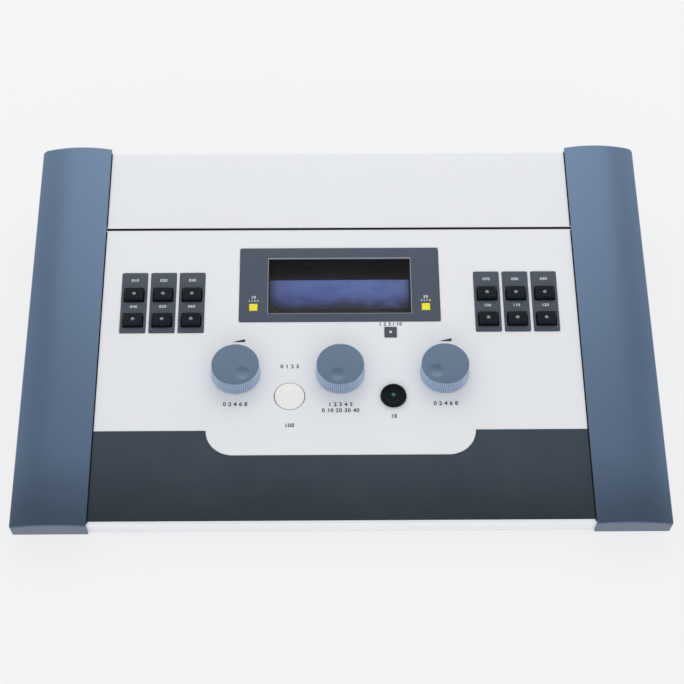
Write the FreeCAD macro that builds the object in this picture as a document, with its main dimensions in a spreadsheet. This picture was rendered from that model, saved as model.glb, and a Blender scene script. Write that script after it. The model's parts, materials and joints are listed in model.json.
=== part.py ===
import FreeCAD, Part

import os
import re

import Sketcher

# A desk audiometer: a wedge-shaped console between two hollow arched cheeks. Millimetres, +X to the
# right, +Y to the rear, +Z up, with the origin on the desk under the middle of the console.
#
# Everything on the sloping panel is drawn in the panel's own frame: x to the right, y up the slope and
# z out of the panel, from the middle of the display bezel. lay_on_panel() tilts it into place.

DIMENSIONS = {
    "overall_width": (370, "across both cheeks"),
    "overall_depth": (261, "front to rear of the cheeks"),
    "slope": (9, "panel angle to the desk, degrees"),
    "panel_y": (29.7, "place of the panel origin along Y"),
    "panel_z": (40.8, "height of the panel origin"),
    "foot_height": (4, "rubber foot"),
    "foot_radius": (8, "rubber foot"),
    "foot_margin": (29.8, "rubber feet inside the shells' edge"),
    "foot_set": (25.5, "rubber feet inside the cheeks' ends"),
    "wall": (2.4, "moulded wall"),
    "cheek_width": (42.8, "one end cheek"),
    "nose_rise": (3.57, "top of a cheek's leaning front face over the panel's plane"),
    "cheek_lean": (4.5, "how far that face leans in at its foot"),
    "cheek_inner_rise": (1.3, "arch above the panel at its inner edge"),
    "cheek_outer_rise": (-0.3, "arch above the panel at its outer edge"),
    "arch_rise": (2.7, "arch over its own chord"),
    "cheek_corner": (3, "radius of the cheek's outer corner at its rear"),
    "cheek_toe": (1.2, "radius of the cheek's outer corner at its front"),
    "cheek_edge": (0.8, "radius of the cheek's top edges"),
    "cheek_tail": (9, "solid rear end of a cheek, behind the connector plate"),
    "rebate_wall": (1.0, "cheek wall where it laps the console"),
    "rebate_lift": (0.15, "gap over the panel under the cheek's lip"),
    "lap_gap": (0.6, "left between a cheek's step and the shells"),
    "cheek_step": (20, "depth of a cheek's room before its roof steps down"),
    "cheek_lap": (7.6, "how far the console shells run under a cheek's lip"),
    "panel_thick": (3, "front panel"),
    "nose_inset": (2.17, "panel's front edge behind the cheeks' noses"),
    "panel_rear": (40.2, "panel origin to the seam"),
    "apron_lift": (0.18, "apron's foot above the pan's underside"),
    "apron_lean": (1.7, "apron's lean over that drop"),
    "apron_round": (1, "radius of the panel's front edge"),
    "cover_thick": (2.4, "rear cover"),
    "seam_width": (1.4, "seam between the panel and the rear cover"),
    "tail_inset": (1.64, "cover's rear edge ahead of the cheeks' ends"),
    "lip_drop": (6, "rear cover's lip"),
    "cover_round": (2.2, "radius of the rear edge"),
    "seam_depth": (0.7, "gasket below the panel"),
    "apron_gap": (0.31, "base pan behind the apron's foot"),
    "pan_rear_inset": (8.5, "base pan ahead of the cheeks' ends"),
    "pan_clearance": (0.1, "base pan under the panel"),
    "doorway_inset": (4.2, "edge of the opening in the pan's rear wall, inside the cheek"),
    "vent_width": (2.4, "vent slot"),
    "vent_length": (34, "vent slot"),
    "vent_pitch": (10, "from slot to slot"),
    "vent_inset": (51.5, "middle of the vents behind the pan's front"),
    "band_strip": (2.4, "panel left ahead of the wrist band"),
    "band_arm": (57.4, "wrist band beside the tongue, front to rear"),
    "band_thick": (1.5, "wrist band"),
    "tongue_half": (77.55, "half width of the tongue between the band's arms"),
    "tongue_strip": (41.3, "wrist band ahead of the tongue"),
    "tongue_straight": (0.1, "straight side of the tongue behind its round corner"),
    "fit_gap": (0.15, "gap round what is let into the panel"),
    "bezel_side": (8.4, "bezel past the middle of a lamp"),
    "bezel_border": (13.55, "bezel above and below the window together"),
    "bezel_round": (1.7, "display bezel's corners"),
    "trim_sink": (0.8, "trims let into the panel"),
    "trim_proud": (0.4, "trims above the panel"),
    "window_width": (85.4, "display window"),
    "window_height": (39.25, "display window"),
    "window_centre": (-0.9, "display window's middle"),
    "window_chamfer": (0.6, "display window's bevel"),
    "lens_overlap": (1.1, "lens behind the bezel, each side"),
    "lens_thick": (1.2, "window lens"),
    "display_depth": (9, "display face below the panel"),
    "frame_side": (7, "display module's metal frame past the lit area, each side"),
    "frame_end": (2.4, "metal frame past the window, above and below"),
    "frame_thick": (4, "display module's metal frame"),
    "frame_lip": (0.6, "frame's front over the glass"),
    "frame_fit": (0.1, "gap round the glass"),
    "glass_mask": (1.4, "window wider than the lit area"),
    "glass_height": (21, "lit area of the display"),
    "glass_margin": (2, "glass behind the frame, each side"),
    "lcd_board_side": (7, "display board past the metal frame, each side"),
    "lcd_board_end": (1, "display board past the metal frame, above and below"),
    "ribbon_width": (30, "flat cable"),
    "ribbon_thick": (1, "flat cable"),
    "ribbon_start": (12, "flat cable's top behind the panel origin"),
    "ribbon_bend": (10, "flat cable's bend behind the panel origin"),
    "ribbon_end": (8, "flat cable's foot behind the panel origin"),
    "ribbon_rise": (4, "flat cable's bend above its socket"),
    "socket_width": (34, "flat cable's socket"),
    "socket_depth": (6, "flat cable's socket"),
    "socket_height": (5, "flat cable's socket"),
    "lamp_size": (5, "indicator lamp"),
    "lamp_fit": (0.1, "gap round a lamp"),
    "lamp_margin": (8.8, "middle of a lamp past the window's edge"),
    "lamp_up": (-16.2, "lamp's height on the panel"),
    "lamp_sink": (3.4, "lamp lens below the panel"),
    "plate_side": (1.6, "key plate past its keys, each side"),
    "plate_ends": (24.5, "key plate longer than its row pitch"),
    "plate_lift": (3.65, "key plate's middle above the middle of its keys"),
    "plate_round": (1.4, "key plate's corners"),
    "key_margin": (19.4, "outermost key column from the cheek"),
    "plate_gap": (2.05, "from plate to plate"),
    "key_middle": (-16.2, "midway between the key rows"),
    "key_rows": (18, "from key row to key row"),
    "key_width": (12, "key cap"),
    "key_height": (9.6, "key cap"),
    "key_top": (2.7, "key cap above the panel"),
    "key_skirt": (6, "key cap below the panel"),
    "key_wall": (1.2, "key cap"),
    "key_corner": (0.9, "key cap's upright edges"),
    "key_edge": (0.7, "top edges of the caps"),
    "key_gap": (0.2, "gap round a key cap"),
    "key_travel": (0.8, "key stroke"),
    "stop_gap": (0.2, "left between a pressed cap and its switch"),
    "key_switch_height": (4, "tactile switch"),
    "key_switch_margin": (0.9, "tactile switch inside its cap's outline, each side"),
    "light_radius": (1.2, "light pipe in a key"),
    "light_bore": (1.35, "bore round a light pipe"),
    "light_sink": (0.2, "light pipe below the cap's top"),
    "key_board_sides": (19.5, "key board wider than two column pitches"),
    "key_board_end": (0.75, "key board past its plates, above and below"),
    "board_thick": (1.6, "circuit boards"),
    "knob_across": (60.9, "outer knobs from the middle"),
    "knob_up": (-62.1, "knob row"),
    "knob_radius": (14.2, "knob at its foot"),
    "knob_taper": (0.4, "knob narrower at its top, each side"),
    "knob_top": (10.7, "knob top above the panel"),
    "knob_gap": (0.6, "knob foot above the panel"),
    "knob_edge": (0.6, "radius of the knob's top edge"),
    "knob_wall": (4.8, "knob round its hollow"),
    "knob_crust": (5.2, "knob over its hollow"),
    "dimple_radius": (3.8, "finger dimple"),
    "dimple_depth": (0.9, "finger dimple"),
    "dimple_edge": (6.6, "middle of the dimple inside the knob's crown"),
    "shaft_radius": (3, "encoder shaft"),
    "shaft_cover": (2.1, "knob over its shaft"),
    "shaft_stand": (5, "shaft's foot above the control board"),
    "shaft_clearance": (0.05, "encoder shaft in its bushing"),
    "bushing_radius": (3.5, "encoder bushing"),
    "bushing_room": (0.5, "left over the bushing in the knob's hollow"),
    "bushing_gap": (0.1, "panel's hole round a bushing"),
    "encoder_size": (13, "encoder case"),
    "encoder_head": (5, "encoder case's top below the panel"),
    "nut_grip": (2.2, "ring nut's wall"),
    "nut_thick": (2, "ring nut"),
    "control_board_drop": (15, "control board's upper face below the panel"),
    "control_board_side": (21.1, "control board past an outer knob's axis"),
    "control_board_height": (44, "control board"),
    "control_board_shift": (3.9, "control board's middle ahead of the knob row"),
    "signal_across": (-29.5, "signal button"),
    "signal_up": (-77.6, "signal button"),
    "signal_radius": (8.65, "signal button"),
    "signal_gap": (0.5, "gap round the signal button"),
    "signal_top": (0.6, "signal button above the panel"),
    "signal_edge": (0.5, "radius of the signal button's edge"),
    "signal_travel": (2, "signal button's stroke"),
    "save_across": (30.7, "save button"),
    "save_up": (-77.8, "save button"),
    "save_radius": (7.35, "save button"),
    "save_gap": (0.25, "gap round the save button"),
    "save_top": (2.3, "save button above the panel"),
    "save_travel": (1, "save button's stroke"),
    "button_skirt": (7, "round buttons below the panel"),
    "button_wall": (2, "round buttons"),
    "button_stem": (2.6, "radius of a round button's stem"),
    "flange_reach": (1.6, "flange past the button's side"),
    "flange_thick": (1.4, "flange under the panel"),
    "button_switch": (12, "switch under a round button"),
    "mic_across": (30, "talk-back microphone"),
    "mic_drop": (7.6, "microphone ahead of the bezel"),
    "mic_size": (7, "microphone trim"),
    "mic_hole": (0.9, "radius of its sound hole"),
    "mic_can_radius": (3, "microphone capsule"),
    "mic_can_gap": (0.2, "panel's hole round the capsule"),
    "mic_can_foot": (5.5, "capsule below the panel"),
    "board_standoff": (5.6, "main board over the pan's floor"),
    "board_setback": (3, "main board ahead of the pan's rear"),
    "supply_gap": (4, "main board from the supply module"),
    "main_board_depth": (125, "main board"),
    "supply_margin": (29.8, "middle of the supply module inside the shells' edge"),
    "supply_setback": (41, "middle of the supply module ahead of the pan's rear"),
    "supply_width": (28, "supply module"),
    "supply_depth": (50, "supply module"),
    "supply_height": (25.6, "supply module"),
    "supply_round": (2, "supply module's upright edges"),
    "jack_radius": (3.2, "bore for a 6.35 mm plug"),
    "jack_depth": (32, "that bore"),
    "jack_pitch": (24, "from socket to socket"),
    "jack_shift": (-2, "middle socket along X"),
    "jack_width": (15, "socket case"),
    "jack_length": (32, "socket case"),
    "jack_head": (7.4, "socket case above its axis"),
    "neck_radius": (5, "socket's threaded neck"),
    "neck_reach": (3, "neck past the connector plate"),
    "jack_nut_radius": (7, "socket's ring nut"),
    "jack_nut_thick": (2.2, "socket's ring nut"),
    "rear_plate_inset": (2.2, "plate's end inside the cheek's edge"),
    "rear_plate_thick": (2, "rear connector plate"),
    "rear_plate_lift": (1, "plate's lower edge above the pan's underside"),
    "rear_plate_drop": (1.3, "plate's upper edge under the cover"),
    "cutout_gap": (0.2, "gap round what passes the connector plate"),
    "port_step": (30, "data port from the last socket"),
    "port_width": (12, "data port"),
    "port_height": (11, "data port, and the supply inlet"),
    "port_depth": (17, "data port"),
    "port_wall": (1.8, "data port's shell at its sides"),
    "port_tongue": (3.2, "height of the data port's tongue"),
    "port_tongue_width": (5.6, "data port's tongue"),
    "inlet_step": (28, "supply inlet from the first socket"),
    "inlet_width": (9, "supply inlet"),
    "inlet_depth": (14, "supply inlet"),
    "inlet_bore": (2.8, "supply inlet's bore"),
    "inlet_pin": (1, "supply inlet's pin"),
    "port_reach": (0.5, "ports past the connector plate"),
    "rocker_margin": (20.2, "power rocker from the cheek"),
    "rocker_set": (5, "power rocker's pivot inside the plate's face"),
    "rocker_lift": (16.4, "power rocker's pivot above the main board"),
    "rocker_rest": (-10, "rocker's tilt when off, degrees"),
    "rocker_width": (10, "rocker"),
    "rocker_half": (7.4, "rocker's half height"),
    "rocker_face": (5.2, "rocker's raised ends ahead of the pivot"),
    "rocker_dish": (1, "hollow between those ends"),
    "rocker_back": (4, "rocker behind the pivot"),
    "rocker_gap": (0.2, "gap beside the rocker"),
    "rocker_sweep": (1.2, "room above and below for its swing"),
    "rocker_pin": (1.2, "rocker's pivot pins"),
    "rocker_pin_reach": (1.2, "pins past the rocker's sides"),
    "switch_wall": (1.3, "switch housing's sides"),
    "switch_end": (1.1, "switch housing's ends"),
    "switch_depth": (14, "switch housing"),
    "switch_rim": (1.2, "switch housing's rim"),
    "screw_radius": (1.5, "case screw"),
    "screw_head": (2.8, "case screw's head"),
    "screw_sink": (0.2, "gap round a screw's head"),
    "screw_hole": (0.1, "gap round a screw's shank"),
    "screw_bite": (6, "screw in its post"),
    "pilot_radius": (1.55, "hole that a case screw bites into"),
    "pilot_spare": (1, "pilot hole past the screw's tip"),
    "post_radius": (3.5, "screw post"),
    "post_front_margin": (14.8, "front posts inside the shells' edge"),
    "post_front_set": (11.5, "front posts behind the pan's front"),
    "post_side_margin": (9.8, "side posts inside the shells' edge"),
    "post_seam_set": (11.4, "panel's rear posts ahead of the seam"),
    "post_rear_set": (22, "cover's posts ahead of the pan's rear"),
    "boss_margin": (12, "board bosses inside the board's sides"),
    "boss_set": (10, "board bosses inside the board's ends"),
    "side_screw_set": (48, "cheek screws inside the cheeks' ends"),
    "front_screw_lift": (10, "front cheek screws above the pan's underside"),
    "rear_screw_lift": (22, "rear cheek screws above the pan's underside"),
}
# What follows from those dimensions.
FITTED = {
    "cheek_inner": "overall_width / 2 - cheek_width",
    "chassis_width": "2 * (cheek_inner + cheek_lap)",
    "rebate_depth": "cheek_lap + lap_gap",
    "cheek_nose": "panel_z - (overall_depth / 2 + panel_y) * tan(slope) - foot_height + nose_rise",
    "panel_front": "(overall_depth / 2 + panel_y - nose_inset) / cos(slope)",
    "cover_front": "panel_rear + seam_width",
    "cover_rear": "(overall_depth / 2 - panel_y - tail_inset) / cos(slope)",
    "apron_toe": "(panel_front - apron_lean) * sin(slope)",
    "apron_drop": "(panel_z - apron_toe - foot_height - apron_lift) / cos(slope)",
    "apron_back": "(panel_front - apron_lean - panel_thick) * cos(slope)",
    "pan_front": "apron_back - apron_drop * sin(slope) - panel_y - apron_gap",
    "pan_rear": "overall_depth / 2 - pan_rear_inset",
    "pan_floor": "foot_height + wall",
    "doorway_width": "2 * (cheek_inner - doorway_inset)",
    "vent_y": "vent_inset - pan_front",
    "band_front": "panel_front - band_strip",
    "band_rear": "band_front - band_arm",
    "tongue_front": "band_front - tongue_strip",
    "tongue_round": "tongue_front - band_rear - tongue_straight",
    "foot_across": "chassis_width / 2 - foot_margin",
    "foot_along": "overall_depth / 2 - foot_set",
    "post_front_across": "chassis_width / 2 - post_front_margin",
    "post_front": "pan_front - post_front_set",
    "post_side_across": "chassis_width / 2 - post_side_margin",
    "post_side": "panel_y + panel_rear * cos(slope) - post_seam_set",
    "post_rear": "pan_rear - post_rear_set",
    "side_screw_along": "overall_depth / 2 - side_screw_set",
    "side_screw_low": "foot_height + front_screw_lift",
    "side_screw_high": "foot_height + rear_screw_lift",
    "lamp_across": "window_width / 2 + lamp_margin",
    "bezel_width": "2 * (lamp_across + bezel_side)",
    "bezel_height": "window_height + bezel_border",
    "glass_width": "window_width - glass_mask",
    "frame_width": "glass_width + 2 * frame_side",
    "frame_height": "window_height + 2 * frame_end",
    "frame_back": "-display_depth - frame_thick",
    "lcd_board_width": "frame_width + 2 * lcd_board_side",
    "lcd_board_height": "frame_height + 2 * lcd_board_end",
    "plate_width": "key_width + 2 * plate_side",
    "plate_height": "key_rows + plate_ends",
    "plate_up": "key_middle + plate_lift",
    "key_pitch": "plate_width + plate_gap",
    "key_inner": "cheek_inner - key_margin - 2 * key_pitch",
    "key_upper": "key_middle + key_rows / 2",
    "key_lower": "key_middle - key_rows / 2",
    "key_board_top": "-(key_skirt + key_travel + stop_gap + key_switch_height)",
    "key_board_width": "2 * key_pitch + key_board_sides",
    "key_board_height": "plate_height + 2 * key_board_end",
    "knob_crown": "knob_radius - knob_taper",
    "knob_hollow": "knob_crown - knob_wall",
    "knob_roof": "knob_top - knob_crust",
    "dimple_arm": "knob_crown - dimple_edge",
    "shaft_top": "knob_top - shaft_cover",
    "shaft_foot": "control_board_drop - shaft_stand",
    "bushing_top": "knob_roof - bushing_room",
    "control_board_up": "knob_up - control_board_shift",
    "control_board_width": "2 * (knob_across + control_board_side)",
    "mic_up": "-bezel_height / 2 - mic_drop",
    "main_board_z": "pan_floor + board_standoff",
    "board_top": "main_board_z + board_thick",
    "supply_x": "supply_margin - chassis_width / 2",
    "supply_y": "pan_rear - supply_setback",
    "main_board_width": "chassis_width - 2 * supply_margin - supply_width - 2 * supply_gap",
    "main_board_y": "pan_rear - board_setback - main_board_depth / 2",
    "boss_across": "main_board_width / 2 - boss_margin",
    "boss_along": "main_board_depth / 2 - boss_set",
    "plate_face": "pan_rear + rear_plate_thick",
    "rear_plate_width": "2 * (cheek_inner - rear_plate_inset)",
    "jack_z": "board_top + jack_head",
    "jack_first": "jack_shift - 2 * jack_pitch",
    "inlet_x": "jack_first - inlet_step",
    "port_x": "jack_first + 4 * jack_pitch + port_step",
    "rocker_x": "rocker_margin - cheek_inner",
    "rocker_y": "plate_face - rocker_set",
    "rocker_z": "board_top + rocker_lift",
}
FUNCTIONS = ("sin", "cos", "tan")
PRIMITIVES = ("Part::Box", "Part::Cylinder")
TINY = 1e-3
X_AXIS = FreeCAD.Vector(1, 0, 0)
Y_AXIS = FreeCAD.Vector(0, 1, 0)
Z_AXIS = FreeCAD.Vector(0, 0, 1)
SIDES = {"left": -1, "right": 1}
# Each knob's place along x and the direction of its dimple in degrees.
KNOBS = {"left_level": ("-knob_across", -54), "frequency": ("0", -103), "right_level": ("knob_across", -137)}
PANEL_POSTS = [
    ("-post_front_across", "-post_front"),
    ("post_front_across", "-post_front"),
    ("-post_side_across", "post_side"),
    ("post_side_across", "post_side"),
]
COVER_POSTS = [("-post_side_across", "post_rear"), ("post_side_across", "post_rear")]
CHEEK_SCREWS = [("-side_screw_along", "side_screw_low"), ("side_screw_along", "side_screw_high")]
BOARD_BOSSES = [
    (x, f"main_board_y {end} boss_along") for end in "-+" for x in ("-boss_across", "boss_across")
]

doc = FreeCAD.newDocument("audiometer")
dims = doc.addObject("Spreadsheet::Sheet", "dims")
parts = []


def fill_sheet():
    """Put every driving dimension in the sheet, with its name and its meaning."""
    for row, (name, (number, meaning)) in enumerate(DIMENSIONS.items(), 1):
        dims.set(f"A{row}", name)
        dims.set(f"B{row}", str(number))
        dims.set(f"C{row}", meaning)
        dims.setAlias(f"B{row}", name)
    doc.recompute()


def formula(text):
    """Turn a sum over the names above into an expression over the sheet."""
    return re.sub(r"[a-z_]{3,}", spell_out, text)


def spell_out(word):
    name = word[0]
    if name in FITTED:
        return f"({formula(FITTED[name])})"
    return name if name in FUNCTIONS else "dims." + name


def value(text):
    """What such a sum comes to."""
    return float(dims.evalExpression(formula(text)))


def bind(item, **sums):
    """Bind properties to sums; a double underscore in a name stands for a dot."""
    for path, text in sums.items():
        item.setExpression(path.replace("__", "."), formula(text))
    return item


def place(item, x, y, z):
    return bind(item, Placement__Base__x=x, Placement__Base__y=y, Placement__Base__z=z)


def keep(item, label, on_panel=False):
    """Name a finished sub-part, and tilt it onto the panel if it was drawn in the panel's frame."""
    if on_panel:
        item = tilted(group(label + "_solids", [item]) if item.TypeId in PRIMITIVES else item)
    item.Label = label
    parts.append(item)


def tilted(item):
    """Lay a shape that was drawn in the panel's frame on the panel."""
    return place(turned(item, "slope"), "0", "panel_y", "panel_z")


def turned(item, angle):
    """Turn a shape about the X axis."""
    item.Placement = FreeCAD.Placement(FreeCAD.Vector(), FreeCAD.Rotation(X_AXIS, 1))
    return bind(item, Placement__Rotation__Angle=angle)


# Primitives and booleans


def block(name, x, y, width, depth, low, high):
    """A box centred on (x, y) from the height low to the height high."""
    item = bind(doc.addObject("Part::Box", name), Length=width, Width=depth, Height=f"({high}) - ({low})")
    return place(item, f"({x}) - ({width}) / 2", f"({y}) - ({depth}) / 2", low)


def rod(name, x, y, low, high, radius):
    """An upright cylinder."""
    item = bind(doc.addObject("Part::Cylinder", name), Radius=radius, Height=f"({high}) - ({low})")
    return place(item, x, y, low)


def rod_along_y(name, x, z, low, high, radius):
    item = bind(doc.addObject("Part::Cylinder", name), Radius=radius, Height=f"({high}) - ({low})")
    item.Placement = FreeCAD.Placement(FreeCAD.Vector(), FreeCAD.Rotation(X_AXIS, -90))
    return place(item, x, low, z)


def rod_along_x(name, y, z, low, high, radius):
    item = bind(doc.addObject("Part::Cylinder", name), Radius=radius, Height=f"({high}) - ({low})")
    item.Placement = FreeCAD.Placement(FreeCAD.Vector(), FreeCAD.Rotation(Y_AXIS, 90))
    return place(item, low, y, z)


def fuse(name, shapes):
    item = doc.addObject("Part::MultiFuse", name)
    item.Shapes = shapes
    return item


def group(name, shapes):
    """Separate solids that share one sub-part."""
    item = doc.addObject("Part::Compound", name)
    item.Links = shapes
    return item


def cut(name, base, tools):
    item = doc.addObject("Part::Cut", name)
    item.Base = base
    item.Tool = tools[0] if len(tools) == 1 else fuse(name + "_tools", tools)
    return item


def round_off(name, base, radius, chosen):
    """Fillet the edges of a Part shape that the test chooses."""
    doc.recompute()
    size = value(radius)
    item = doc.addObject("Part::Fillet", name)
    item.Base = base
    item.Edges = [(number, size, size) for number, edge in enumerate(base.Shape.Edges, 1) if chosen(edge)]
    return item


# Sketched bodies


def new_body(name):
    return doc.addObject("PartDesign::Body", name)


def sketch(owner, plane, name, lift="0"):
    """A sketch on one of the body's own planes, lifted along the plane's normal."""
    drawing = owner.newObject("Sketcher::SketchObject", name)
    support = next(item for item in owner.Origin.OriginFeatures if item.Role == plane)
    drawing.AttachmentSupport = [(support, "")]
    drawing.MapMode = "FlatFace"
    bind(drawing, AttachmentOffset__Base__z=lift)
    return drawing


def constrain(drawing, kind, *places, text):
    number = drawing.addConstraint(Sketcher.Constraint(kind, *places, value(text)))
    drawing.setExpression(f"Constraints[{number}]", formula(text))


def arc_between(start, end, bulge, radius):
    """An arc bulging to the left of the way from start to end, and which of its ends start is."""
    chord = end - start
    to_left = Z_AXIS.cross(chord).normalize()
    side = 1 if bulge > 0 else -1
    centre = (start + end) / 2 + to_left * (bulge - side * radius)
    turns = [FreeCAD.Vector(1, 0, 0).getAngle(spot - centre) * (1 if spot.y >= centre.y else -1)
             for spot in (start, end)]
    if side > 0:
        turns.reverse()
    return Part.ArcOfCircle(Part.Circle(centre, Z_AXIS, radius), *turns), 2 if side > 0 else 1


def outline(drawing, corners, arcs=None):
    """A closed outline through corners; arcs maps an edge's number to its (bulge to the left, radius)."""
    arcs = arcs or {}
    spots = [FreeCAD.Vector(value(x), value(y), 0) for x, y in corners]
    first = drawing.GeometryCount
    starts = []
    for index, spot in enumerate(spots):
        following = spots[(index + 1) % len(spots)]
        shape, start = Part.LineSegment(spot, following), 1
        if index in arcs:
            shape, start = arc_between(spot, following, *map(value, arcs[index]))
        drawing.addGeometry(shape)
        starts.append(start)
    for index, (x, y) in enumerate(corners):
        edge = first + index
        after = (index + 1) % len(spots)
        joint = (edge, 3 - starts[index], first + after, starts[after])
        drawing.addConstraint(Sketcher.Constraint("Coincident", *joint))
        constrain(drawing, "DistanceX", -1, 1, edge, starts[index], text=x)
        constrain(drawing, "DistanceY", -1, 1, edge, starts[index], text=y)
        if index in arcs:
            constrain(drawing, "Radius", edge, text=arcs[index][1])


def rectangle(drawing, x, y, width, height):
    left, right = f"({x}) - ({width}) / 2", f"({x}) + ({width}) / 2"
    low, high = f"({y}) - ({height}) / 2", f"({y}) + ({height}) / 2"
    outline(drawing, [(left, low), (right, low), (right, high), (left, high)])


def circle(drawing, x, y, radius):
    centre = FreeCAD.Vector(value(x), value(y), 0)
    number = drawing.addGeometry(Part.Circle(centre, Z_AXIS, value(radius)))
    constrain(drawing, "DistanceX", -1, 1, number, 3, text=x)
    constrain(drawing, "DistanceY", -1, 1, number, 3, text=y)
    constrain(drawing, "Radius", number, text=radius)


def extrude(owner, kind, drawing, length, reverse=False, middle=False):
    """A Pad goes along the sketch's normal and a Pocket against it, unless reversed."""
    feature = owner.newObject("PartDesign::" + kind, f"{drawing.Name}_{kind.lower()}")
    feature.Profile = drawing
    bind(feature, Length=length)
    feature.Reversed = reverse
    feature.SideType = "Symmetric" if middle else "One side"
    return feature


def dress(owner, kind, size, chosen):
    """Fillet or chamfer the edges of the body that the test chooses."""
    doc.recompute()
    base = owner.Tip
    edges = [f"Edge{number}" for number, edge in enumerate(base.Shape.Edges, 1) if chosen(edge)]
    feature = owner.newObject("PartDesign::" + kind, f"{owner.Name}_{kind.lower()}")
    feature.Base = (base, edges)
    return bind(feature, **{"Radius" if kind == "Fillet" else "Size": size})


def upright(edge):
    box = edge.BoundBox
    return box.ZLength > 0.3 and box.XLength < 1e-4 and box.YLength < 1e-4


def level_at(height):
    """A test for edges that lie at one height of the body's own frame."""
    z = value(height)
    return lambda edge: abs(edge.BoundBox.ZMin - z) < 1e-4 and abs(edge.BoundBox.ZMax - z) < 1e-4


# The case


def slope_z(y, rise="0"):
    """Height over the desk, at y, of a plane that far above the panel."""
    return f"panel_z + (({y}) - panel_y) * tan(slope) + ({rise}) / cos(slope)"


def cheek_room(cheek, name, depth, wall, rear_wall, floor, rise):
    """Hollow a cheek from its inner side, leaving walls of its side outline."""
    front_foot = f"-overall_depth / 2 + cheek_lean * (1 - ({floor} - foot_height) / cheek_nose) + {wall}"
    front_head = f"-overall_depth / 2 + cheek_lean / 4 + {wall}"
    rear = f"overall_depth / 2 - {rear_wall}"
    drawing = sketch(cheek, "YZ_Plane", name, "-cheek_inner")
    outline(drawing, [
        (front_foot, floor),
        (rear, floor),
        (rear, slope_z(rear, rise)),
        (front_head, slope_z(front_head, rise)),
    ])
    extrude(cheek, "Pocket", drawing, depth)


def cheeks():
    """Two hollow end caps with an arched top, open towards the console; the right one mirrors the left."""
    cheek = new_body("cheek_body")
    side = sketch(cheek, "YZ_Plane", "cheek_side", "-overall_width / 2")
    outline(side, [
        ("-overall_depth / 2 + cheek_lean", "foot_height"),
        ("overall_depth / 2", "foot_height"),
        ("overall_depth / 2", "panel_z + 2 * cheek_nose"),
        ("-overall_depth / 2", "foot_height + cheek_nose"),
    ])
    extrude(cheek, "Pad", side, "overall_width / 2 - cheek_inner")

    arch = sketch(cheek, "XZ_Plane", "cheek_arch", "-panel_y")
    arch.AttachmentOffset = FreeCAD.Placement(FreeCAD.Vector(), FreeCAD.Rotation(X_AXIS, 1))
    bind(arch, AttachmentOffset__Base__y="panel_z", AttachmentOffset__Rotation__Angle="slope")
    chord = "((overall_width / 2 - cheek_inner) ^ 2 + (cheek_inner_rise - cheek_outer_rise) ^ 2)"
    outline(arch, [
        ("-overall_width / 2 - wall", "cheek_outer_rise"),
        ("-overall_width / 2", "cheek_outer_rise"),
        ("-cheek_inner", "cheek_inner_rise"),
        ("-cheek_inner + wall", "cheek_inner_rise"),
        ("-cheek_inner + wall", "panel_z"),
        ("-overall_width / 2 - wall", "panel_z"),
    ], arcs={1: ("arch_rise", f"({chord} / 4 + arch_rise ^ 2) / (2 * arch_rise)")})
    extrude(cheek, "Pocket", arch, "2 * overall_depth", middle=True)

    outer = value("-overall_width / 2") + TINY
    inner = value("-cheek_inner") - TINY
    waist = value("foot_height + cheek_nose / 2")
    for size, half in (("cheek_corner", 1), ("cheek_toe", -1)):
        dress(cheek, "Fillet", size, lambda edge: edge.BoundBox.XMax < outer
              and edge.BoundBox.YLength < edge.BoundBox.ZLength and half * edge.BoundBox.YMax > 0)
    dress(cheek, "Fillet", "cheek_edge", lambda edge: edge.BoundBox.XMin < inner
          and edge.BoundBox.ZMin > waist and not upright(edge))

    lap_walls, below = ("rebate_wall", "rebate_wall"), "foot_height - wall"
    cheek_room(cheek, "lap_room", "rebate_depth", *lap_walls, below, "rebate_lift")
    walls = ("wall", "cheek_tail")
    cheek_room(cheek, "main_room", "rebate_depth + cheek_step", *walls, "pan_floor", "rebate_lift")
    outer_depth = "overall_width / 2 - cheek_inner - wall"
    cheek_room(cheek, "outer_room", outer_depth, *walls, "pan_floor", "-wall")
    bosses = sketch(cheek, "YZ_Plane", "cheek_bosses", "-cheek_inner - rebate_depth")
    pilots = sketch(cheek, "YZ_Plane", "cheek_pilots", "-cheek_inner - rebate_depth")
    for y, z in CHEEK_SCREWS:
        circle(bosses, y, z, "post_radius")
        circle(pilots, y, z, "pilot_radius")
    extrude(cheek, "Pad", bosses, f"{outer_depth} - rebate_depth + wall / 2", reverse=True)
    extrude(cheek, "Pocket", pilots, "screw_bite + pilot_spare + wall")
    keep(cheek, "left_cheek")

    mirrored = doc.addObject("Part::Mirroring", "mirrored_cheek")
    mirrored.Source = cheek
    mirrored.Normal = X_AXIS
    keep(mirrored, "right_cheek")


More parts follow.
